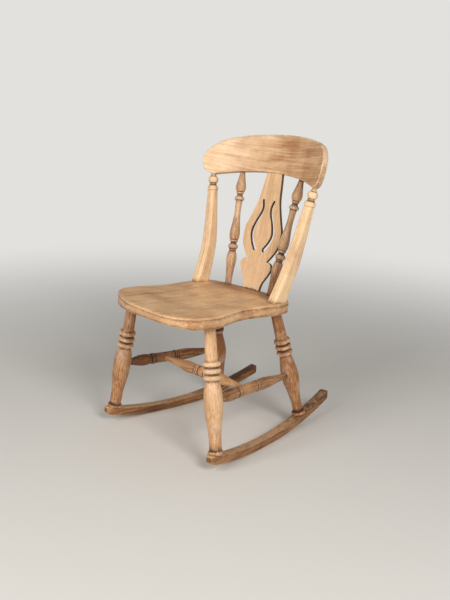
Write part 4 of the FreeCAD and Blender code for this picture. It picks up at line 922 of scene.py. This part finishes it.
STILE_FOOT, STILE_KNEE, STILE_HEAD = (148.0, 61.1, 378.2), (157.5, 104.6, 477.2), (188.0, 142.6, 675.9)
STILE_TENON_RADIUS, STILE_TENON_LENGTH = 10.0, 24.8
SPINDLE_FOOT, SPINDLE_HEAD = (81.0, 108.0, 375.4), (109.5, 182.5, 687.5)
SPINDLE_BASE, SPINDLE_END, SPINDLE_FOOT_DEPTH, SPINDLE_HEAD_DEPTH = 9.0, 6.8, 18.0, 16.0
SPLAT_FOOT, SPLAT_HEAD = (0.0, 115.0, 375.0), (0.0, 197.3, 694.8)
SPLAT_THICKNESS = 9.0
SPLAT_TENON, SPLAT_TENON_DEPTH, SPLAT_TOP, SPLAT_TOP_DEPTH = 25.0, 14.0, 27.0, 16.0
SEAM, SEAM_REACH, SEAM_DIRT = SEAT_JOINT * MM, 1.5, -1.7


def slab(half_width, low, high):
    """The corners of the splat's slot: a slab in the splat's frame, from low to high on it."""
    axes = stand(SPLAT_FOOT, SPLAT_HEAD)
    wide, front, behind = half_width + FIT, -FIT, SPLAT_THICKNESS + FIT
    return [
        axes @ np.array([x, y, z]) + np.array(SPLAT_FOOT)
        for z in (low, high)
        for x, y in ((-wide, front), (wide, front), (wide, behind), (-wide, behind))
    ]


seat_bits = []
for _, side in SIDES:
    for end in ("front", "back"):
        foot, head = leg_line(end, side)
        seat_bits.append(bit_along(head, head - foot, LEG_TOP + FIT, CLEAR, LEG_SOCKET_DEPTH + END_GAP))
    foot, knee = mirrored(STILE_FOOT, side), mirrored(STILE_KNEE, side)
    seat_bits.append(bit_along(foot, knee - foot, STILE_TENON_RADIUS + FIT, SEAT_THROUGH, SEAT_THROUGH))
    foot, head = mirrored(SPINDLE_FOOT, side), mirrored(SPINDLE_HEAD, side)
    seat_bits.append(bit_along(foot, head - foot, SPINDLE_BASE + FIT, SPINDLE_FOOT_DEPTH + END_GAP, CLEAR))
bored(seat, seat_bits, [slab(SPLAT_TENON, -SPLAT_TENON_DEPTH - END_GAP, SPLAT_TENON_DEPTH)])


def parted(item, name, keep_right):
    """One side of a piece cut through at the glue joint, with dirt lying in the joint."""
    half = bmesh.new()
    half.from_mesh(item.data)
    for off, clear in ((-SEAM_REACH, False), (SEAM_REACH, False), (0.0, True)):
        bmesh.ops.bisect_plane(
            half, geom=half.verts[:] + half.edges[:] + half.faces[:], dist=1e-6,
            plane_co=((SEAT_JOINT + off) * MM, 0.0, 0.0), plane_no=(1.0, 0.0, 0.0),
            clear_inner=clear and keep_right, clear_outer=clear and not keep_right,
        )
    rim = [edge for edge in half.edges if edge.is_boundary]
    bmesh.ops.holes_fill(half, edges=rim, sides=0)
    marks = half.verts.layers.float["wear_and_shade"]
    for vert in half.verts:
        if abs(vert.co.x - SEAM) < 1e-5:
            vert[marks] = SEAM_DIRT
    mesh = bpy.data.meshes.new(name)
    half.to_mesh(mesh)
    half.free()
    mesh.materials.append(seat_wood)
    return mesh


narrow_mesh = parted(seat, "seat_narrow_board", False)
seat.data = parted(seat, "seat_wide_board", True)
narrow_board = bpy.data.objects.new("dished_seat_narrow_board", narrow_mesh)
bpy.context.scene.collection.objects.link(narrow_board)
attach(narrow_board, "root")
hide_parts("seat_narrow_board")


# The stiles: two beech posts, sawn with a knee, their arrises taken off, then turned at
# the top with a disc, a bulb and a neck that fits up into the crest rail. A round tenon
# at the foot goes right through the seat and is spread there by a wedge.
STILE_FOOT_WIDTH, STILE_KNEE_WIDTH, STILE_TOP_WIDTH, STILE_SWEEP = 29.0, 28.5, 24.0, 44.0
STILE_FOOT_DEPTH, STILE_KNEE_DEPTH = 48.0, 39.0
STILE_CHAMFER, STILE_EDGE = 5.0 / 29.0, 1.1
STILE_TURNING, STILE_DISC, STILE_BULB, STILE_NECK, STILE_NECK_DEPTH = 45.8, 15.9, 14.6, 7.0, 18.0

# How strongly the grooves of the stiles' heads and the spindles are grimed, and their
# crowns rubbed.
BACK_GAINS = (1.0, 0.45)

back_wood = old_wood(
    "back_wood", tone(240, 204, 160), tone(172, 122, 82), tone(80, 50, 30), tone(244, 220, 186),
    figure=46.0, polish=0.36, patches=0.55, streaks=0.4, rings_show=0.18, bloom=0.22,
    rub_reach=(0.3, 0.95),
)


def octagon_ring(width, depth):
    """A section of the post: eight sided, with its edges a little rounded."""
    wide, deep, off = width / 2, depth / 2, STILE_CHAMFER * width
    corners = np.array([
        (wide, off - deep), (wide, deep - off), (wide - off, deep), (off - wide, deep),
        (-wide, deep - off), (-wide, off - deep), (off - wide, -deep), (wide - off, -deep),
    ])
    ring = []
    for start, end in zip(corners, np.roll(corners, -1, 0)):
        ease = min(STILE_EDGE / np.linalg.norm(end - start), 0.2)
        for share in (ease, 1.8 * ease, 0.36, 0.5, 0.64, 1 - 1.8 * ease, 1 - ease):
            ring.append((*(start + (end - start) * share), 0.0))
    # Like a turned ring, it starts on the right.
    return np.roll(np.array(ring), -3, 0)


for side_name, side in SIDES:
    foot, knee, head = (mirrored(point, side) for point in (STILE_FOOT, STILE_KNEE, STILE_HEAD))
    lower = (knee - foot) / np.linalg.norm(knee - foot)
    upper = (head - knee) / np.linalg.norm(head - knee)
    top = head - upper * STILE_TURNING
    below, above = knee - lower * STILE_SWEEP, knee + upper * STILE_SWEEP
    stations = [foot, below, knee / 2 + (below + above) / 4, above, above + (top - above) * 0.45, top]
    widths = [STILE_FOOT_WIDTH, STILE_KNEE_WIDTH, STILE_KNEE_WIDTH, STILE_KNEE_WIDTH, 26.5, STILE_TOP_WIDTH]
    depths = [STILE_FOOT_DEPTH, 41.7, STILE_KNEE_DEPTH, 34.5, 29.8, STILE_TOP_WIDTH]
    line = fair(np.column_stack([stations, widths, depths]), 7)
    rings, wear_and_shade, grain = [], [], []
    axes = stand(foot, knee)
    tenon = lathe_rings([("line", end, STILE_TENON_RADIUS) for end in (-STILE_TENON_LENGTH, -1.0)])[0]
    for ring in tenon:
        rings.append(ring @ axes.T + foot)
        grain.append(ring)
        wear_and_shade.append(0.0)
    travelled = 0.0
    for number, (x, y, z, width, thick) in enumerate(line):
        ahead = line[min(number + 1, len(line) - 1), :3] - line[max(number - 1, 0), :3]
        axes = stand((0.0, 0.0, 0.0), ahead)
        ring = octagon_ring(width, thick)
        spots = ring @ axes.T + np.array([x, y, z])
        if number:
            travelled += np.linalg.norm(line[number, :3] - line[number - 1, :3])
        else:
            # The foot is cut to lie flat on the tilted seat.
            normal = np.array(seat_turn @ Vector((0.0, 0.0, 1.0)))
            spots -= np.outer((spots - foot) @ normal + 0.1, lower) / (lower @ normal)
        rings.append(spots)
        grain.append(ring + [0.0, 0.0, travelled])
        wear_and_shade.append(-0.45 if number == 0 else 0.0)
    axes = stand(knee, head)
    turning, marks = lathe_rings([
        ("line", 0.3, 11.6), ("line", 0.5, 13.4), ("bead", 5.4, STILE_DISC * 0.975), ("line", 5.4, 14.0),
        ("bead", 10.2, STILE_DISC), ("line", 10.2, 13.6), ("curve", 12.8, 11.4), ("curve", 15.6, 9.7),
        ("line", 17.2, 9.4), ("bead", 19.4, 10.5), ("line", 20.2, 9.0), ("line", 20.6, 10.4),
        ("bead", 38.6, STILE_BULB), ("line", 38.9, 8.6), ("line", 42.6, 8.3), ("line", 43.8, STILE_NECK),
        ("line", STILE_TURNING + STILE_NECK_DEPTH, STILE_NECK),
    ], *BACK_GAINS)
    for ring, mark in zip(turning, marks):
        rings.append(ring @ axes.T + top)
        grain.append(ring + [0.0, 0.0, travelled])
        wear_and_shade.append(mark)
    pith = np.array([22.0 * side, 12.0, 5200.0 + 500 * side])
    wear_and_shade = np.repeat(wear_and_shade, AROUND)
    make_piece(
        "kneed_stile_" + side_name, np.concatenate(rings), skin(rings), np.concatenate(grain) + pith, wear_and_shade,
        np.full(len(wear_and_shade), 0.5), back_wood, [side_name + "_stile"],
    )
    dress(side_name + "_stile_wedge", wedge_wood)


# The spindles: two of beech, turned with a lower bulge, a ring, a long swell, a disc
# and a bulb, with ends glued into blind holes in the seat and the crest rail. Hands
# have greyed their middles.
spindle_wood = old_wood(
    "spindle_wood", tone(214, 174, 132), tone(140, 98, 64), tone(56, 35, 21), tone(228, 198, 162),
    polish=0.42, patches=0.6, streaks=0.5, streak_scale=230.0, bloom=0.4, rub_reach=(0.22, 0.85),
)

for side_name, side in SIDES:
    foot, head = mirrored(SPINDLE_FOOT, side), mirrored(SPINDLE_HEAD, side)
    length = np.linalg.norm(head - foot)
    rows = [("line", -SPINDLE_FOOT_DEPTH, SPINDLE_BASE), ("line", 0.0, SPINDLE_BASE)]
    rows += [
        (kind, run * length, radius)
        for kind, run, radius in (
            ("curve", 0.111, 10.6), ("curve", 0.186, 13.3), ("curve", 0.240, 14.5), ("curve", 0.279, 12.2),
            ("line", 0.295, 9.8), ("line", 0.2985, 8.7), ("line", 0.3015, 9.0), ("bead", 0.3135, 10.8),
            ("line", 0.3165, 9.2), ("line", 0.3175, 11.2), ("bead", 0.3585, 14.2), ("line", 0.3595, 9.6),
            ("curve", 0.3685, 8.1), ("line", 0.3775, 8.6), ("line", 0.3805, 10.4), ("bead", 0.3965, 12.3),
            ("line", 0.400, 10.7), ("line", 0.4035, 12.9), ("curve", 0.432, 14.2), ("curve", 0.526, 12.0),
            ("curve", 0.638, 8.7), ("curve", 0.700, 8.8), ("line", 0.735, 9.3), ("bead", 0.7470, 10.3),
            ("line", 0.7495, 9.4), ("line", 0.7515, 12.0), ("bead", 0.7765, 14.4), ("line", 0.7775, 12.0),
            ("curve", 0.787, 9.0), ("line", 0.7967, 7.7), ("line", 0.8060, 8.0), ("line", 0.8085, 9.6),
            ("bead", 0.8225, 11.0), ("line", 0.8250, 9.3), ("line", 0.8275, 11.6), ("curve", 0.845, 13.9),
            ("curve", 0.8636, 14.6), ("curve", 0.900, 12.9), ("curve", 0.945, 9.7),
        )
    ]
    rows += [("curve", length, SPINDLE_END), ("line", length + SPINDLE_HEAD_DEPTH, SPINDLE_END)]
    rings, wear_and_shade = lathe_rings(rows, *BACK_GAINS)
    turned_piece(
        "turned_spindle_" + side_name, rings, wear_and_shade, foot, head, (14 * side, 16, 6400 + 500 * side),
        -0.1 * side, (2.0, length), spindle_wood, side_name + "_spindle",
    )


# The splat: one thin beech board, fretted to a baluster outline with two scrolled ears
# below its belly, and pierced by two curved slits that close like a lyre. It is tenoned
# into the seat, and its top slides up into a slot in the crest rail.
SPLAT_HEIGHT, SPLAT_BASE, SPLAT_UNDER, SPLAT_WAIST = 330.2, 30.5, -0.4, 36.5
SPLAT_EAR, SPLAT_EAR_HEIGHT, SPLAT_BELLY = 57.5, 84.0, 68.5
SPLAT_ABOVE = SPLAT_HEIGHT - SPLAT_EAR_HEIGHT
SPLAT_ARRIS = 0.35
SLIT_LOW, SLIT_HIGH = 12.0, 7.4

# Its groove colour, nearly black, also paints the shade on its sawn edges and in its slits.
splat_wood = old_wood(
    "splat_wood", tone(234, 198, 156), tone(192, 146, 102), tone(22, 13, 7), tone(242, 218, 184),
    figure=34.0, polish=0.5, patches=0.32, streaks=0.3, bloom=0.15, rub_reach=(0.4, 1.0),
)

ear = fair(
    [(SPLAT_BASE, 0.0)]
    + [
        (SPLAT_EAR * across, SPLAT_EAR_HEIGHT * up)
        for across, up in (
            (0.59, 0.24), (0.75, 0.44), (0.905, 0.62), (0.99, 0.76), (0.975, 0.88), (0.85, 0.975),
        )
    ]
    + [(SPLAT_WAIST, SPLAT_EAR_HEIGHT)], 5,
)
belly = fair(
    [(SPLAT_WAIST, SPLAT_EAR_HEIGHT)]
    + [
        (SPLAT_BELLY * across, SPLAT_EAR_HEIGHT + SPLAT_ABOVE * up)
        for across, up in (
            (0.67, 0.049), (0.89, 0.142), (0.97, 0.198), (1.0, 0.287), (0.978, 0.364), (0.92, 0.405),
            (0.745, 0.53), (0.56, 0.688), (0.489, 0.814),
        )
    ]
    + [(SPLAT_TOP, SPLAT_HEIGHT)], 6,
)
# The right edge runs up from the foot of the tenon, and the left one is its mirror.
right_edge = [
    [(SPLAT_TENON, -SPLAT_TENON_DEPTH), (SPLAT_TENON, SPLAT_UNDER)],
    [(SPLAT_TENON, SPLAT_UNDER), (SPLAT_BASE, SPLAT_UNDER)],
    np.vstack([[(SPLAT_BASE, SPLAT_UNDER)], ear]),
    belly,
    [(SPLAT_TOP, SPLAT_HEIGHT), (SPLAT_TOP, SPLAT_HEIGHT + SPLAT_TOP_DEPTH)],
]
left_edge = [(np.array(run) * [-1.0, 1.0])[::-1] for run in reversed(right_edge)]
foot_edge, top_edge = [left_edge[-1][-1], right_edge[0][0]], [right_edge[-1][-1], left_edge[0][0]]
splat_runs = [foot_edge] + right_edge + [top_edge] + left_edge
splat_outline = closed_outline(splat_runs, [0.0] * len(splat_runs))


def slit(side):
    """One slit between two fair banks, narrow above and round ended."""
    middle = fair([
        (side * SPLAT_BELLY * across, SPLAT_EAR_HEIGHT + SPLAT_ABOVE * up)
        for across, up in (
            (0.248, 0.126), (0.365, 0.17), (0.489, 0.231), (0.555, 0.308), (0.504, 0.381), (0.372, 0.47),
            (0.241, 0.551), (0.219, 0.611), (0.292, 0.68),
        )
    ], 5)
    along = np.gradient(middle, axis=0)
    along /= np.linalg.norm(along, axis=1)[:, None]
    out = np.stack([along[:, 1], -along[:, 0]], 1)
    width = np.linspace(SLIT_LOW, SLIT_HIGH, len(middle))[:, None]
    right_bank, left_bank = middle + out * width / 2, middle - out * width / 2
    caps = []
    turns = np.linspace(0, math.pi, 7)[1:-1]
    for tip, outward, reach in ((middle[-1], along[-1], SLIT_HIGH / 2), (middle[0], -along[0], SLIT_LOW / 2)):
        aside = np.array([outward[1], -outward[0]])
        caps.append([tip + (aside * math.cos(a) + outward * math.sin(a)) * reach for a in turns])
    return np.vstack([right_bank, caps[0], left_bank[::-1], caps[1]])


splat_axes = stand(SPLAT_FOOT, SPLAT_HEAD)
points, faces, where, from_edge = sawn_board(
    splat_outline, [slit(side) for _, side in SIDES], BOARD_SPACING, SPLAT_THICKNESS,
    (SPLAT_ARRIS, SPLAT_ARRIS),
    lambda across, up, depth: splat_axes @ np.array([across, depth, up]) + np.array(SPLAT_FOOT),
)
across, up, deep = where.T
grain = np.stack([across + 6.0, deep + 30.0, up + 8000.0], 1)
# The fretted edges and the slits' walls are painted nearly black, partly the dark stain of
# old polish and partly painted shade, and dirt lies about the foot.
wear_and_shade = 0.3 * swell(from_edge, 0.9, 1.2) - 2.2 * (from_edge < SAWN)
wear_and_shade -= 1.1 * swell(np.maximum(up, 0.0), 0.0, 4.0)
# The lower part is painted paler towards the foot, as light falling on it.
shade = 0.9 * ramp(up, 96.0, 16.0)
make_piece("fretted_splat", points, faces, grain, wear_and_shade, shade, splat_wood, ["splat"])


# The crest rail: a broad beech board, steamed and bent about the sitter's back, raked
# well back, arched below and round shouldered, its right shoulder the fuller. The
# stiles' necks, the spindles and the splat all end in holes in its underside.
CREST_FOOT, CREST_RAKE = (0.0, 182.6, 663.7), 17.0
CREST_BEND, CREST_THICKNESS, CREST_ARRIS = 360.5, 19.0, 4.0
CREST_HALF, CREST_RISE, CREST_ARCH, CREST_CORNER = 221.0, 142.0, 34.0, 188.0
SHOULDERS = {
    1: (
        (0.955, 0.075), (0.988, 0.19), (1.0, 0.36), (0.965, 0.57), (0.86, 0.765), (0.62, 0.91),
        (0.32, 0.985),
    ),
    -1: (
        (0.945, 0.068), (0.977, 0.18), (0.985, 0.31), (0.937, 0.485), (0.82, 0.69), (0.58, 0.86),
        (0.28, 0.96),
    ),
}

shoulders = {}
for _, side in SIDES:
    shoulders[side] = [(side * CREST_CORNER, 0.0)]
    shoulders[side] += [(side * CREST_HALF * across, CREST_RISE * up) for across, up in SHOULDERS[side]]
top_run = fair(shoulders[1] + [(0.0, CREST_RISE)] + shoulders[-1][::-1], 10)
arch_radius = (CREST_CORNER ** 2 + CREST_ARCH ** 2) / (2 * CREST_ARCH)
arch_run = [
    (across, CREST_ARCH - arch_radius + math.sqrt(arch_radius ** 2 - across ** 2))
    for across in np.linspace(-CREST_CORNER, CREST_CORNER, 73)
]
crest_outline = closed_outline([top_run, arch_run], [CORNER_EASE, CORNER_EASE])
crest_turn = Matrix.Rotation(math.radians(-CREST_RAKE), 3, "X")


def crest_place(across, up, depth):
    """Where a point of the flat board lies, once that is bent and raked."""
    layer = CREST_BEND + depth
    bowed = math.sqrt(layer ** 2 - across ** 2) - CREST_BEND
    return crest_turn @ Vector((across, bowed, up)) + Vector(CREST_FOOT)


points, faces, where, from_edge = sawn_board(
    crest_outline, [], BOARD_SPACING, CREST_THICKNESS, (CREST_ARRIS, CREST_ARRIS), crest_place
)
across, up, deep = where.T
grain = np.stack([up - 60.0, deep + 26.0, across + 9000.0], 1)
# Its left end is painted paler, as a highlight, and its right part darker, as shade, and
# a dark stain lies along the top, right of the middle.
along, up = across / CREST_HALF, up / CREST_RISE
shade = 0.4 * ramp(along, -0.35, -0.75) - 0.45 * swell(along, 0.55, 0.35)
shade -= 0.5 * swell(along, 0.2, 0.35) * swell(up, 0.78, 0.16)
# The upper part of the right end's sawn face is painted bright, as light falling on it, and a dark stain lies
# on its lower part.
end_grain = (from_edge < SAWN) & (along > 0.75)
shade += 1.4 * end_grain * ramp(up, 0.4, 0.5)
wear_and_shade = 0.6 * swell(from_edge, 2.0, 2.6) - 0.6 * end_grain * ramp(up, 0.42, 0.3)
crest = make_piece(
    "bent_crest_rail", points, faces, grain, wear_and_shade, shade, back_wood, ["crest_rail"]
)
crest_bits = []
for _, side in SIDES:
    knee, head = mirrored(STILE_KNEE, side), mirrored(STILE_HEAD, side)
    crest_bits.append(bit_along(head, head - knee, STILE_NECK + FIT, CLEAR, STILE_NECK_DEPTH + END_GAP))
    foot, head = mirrored(SPINDLE_FOOT, side), mirrored(SPINDLE_HEAD, side)
    crest_bits.append(bit_along(head, head - foot, SPINDLE_END + FIT, CLEAR, SPINDLE_HEAD_DEPTH + END_GAP))
bored(crest, crest_bits, [slab(SPLAT_TOP, SPLAT_HEIGHT - CLEAR, SPLAT_HEIGHT + SPLAT_TOP_DEPTH + END_GAP)])
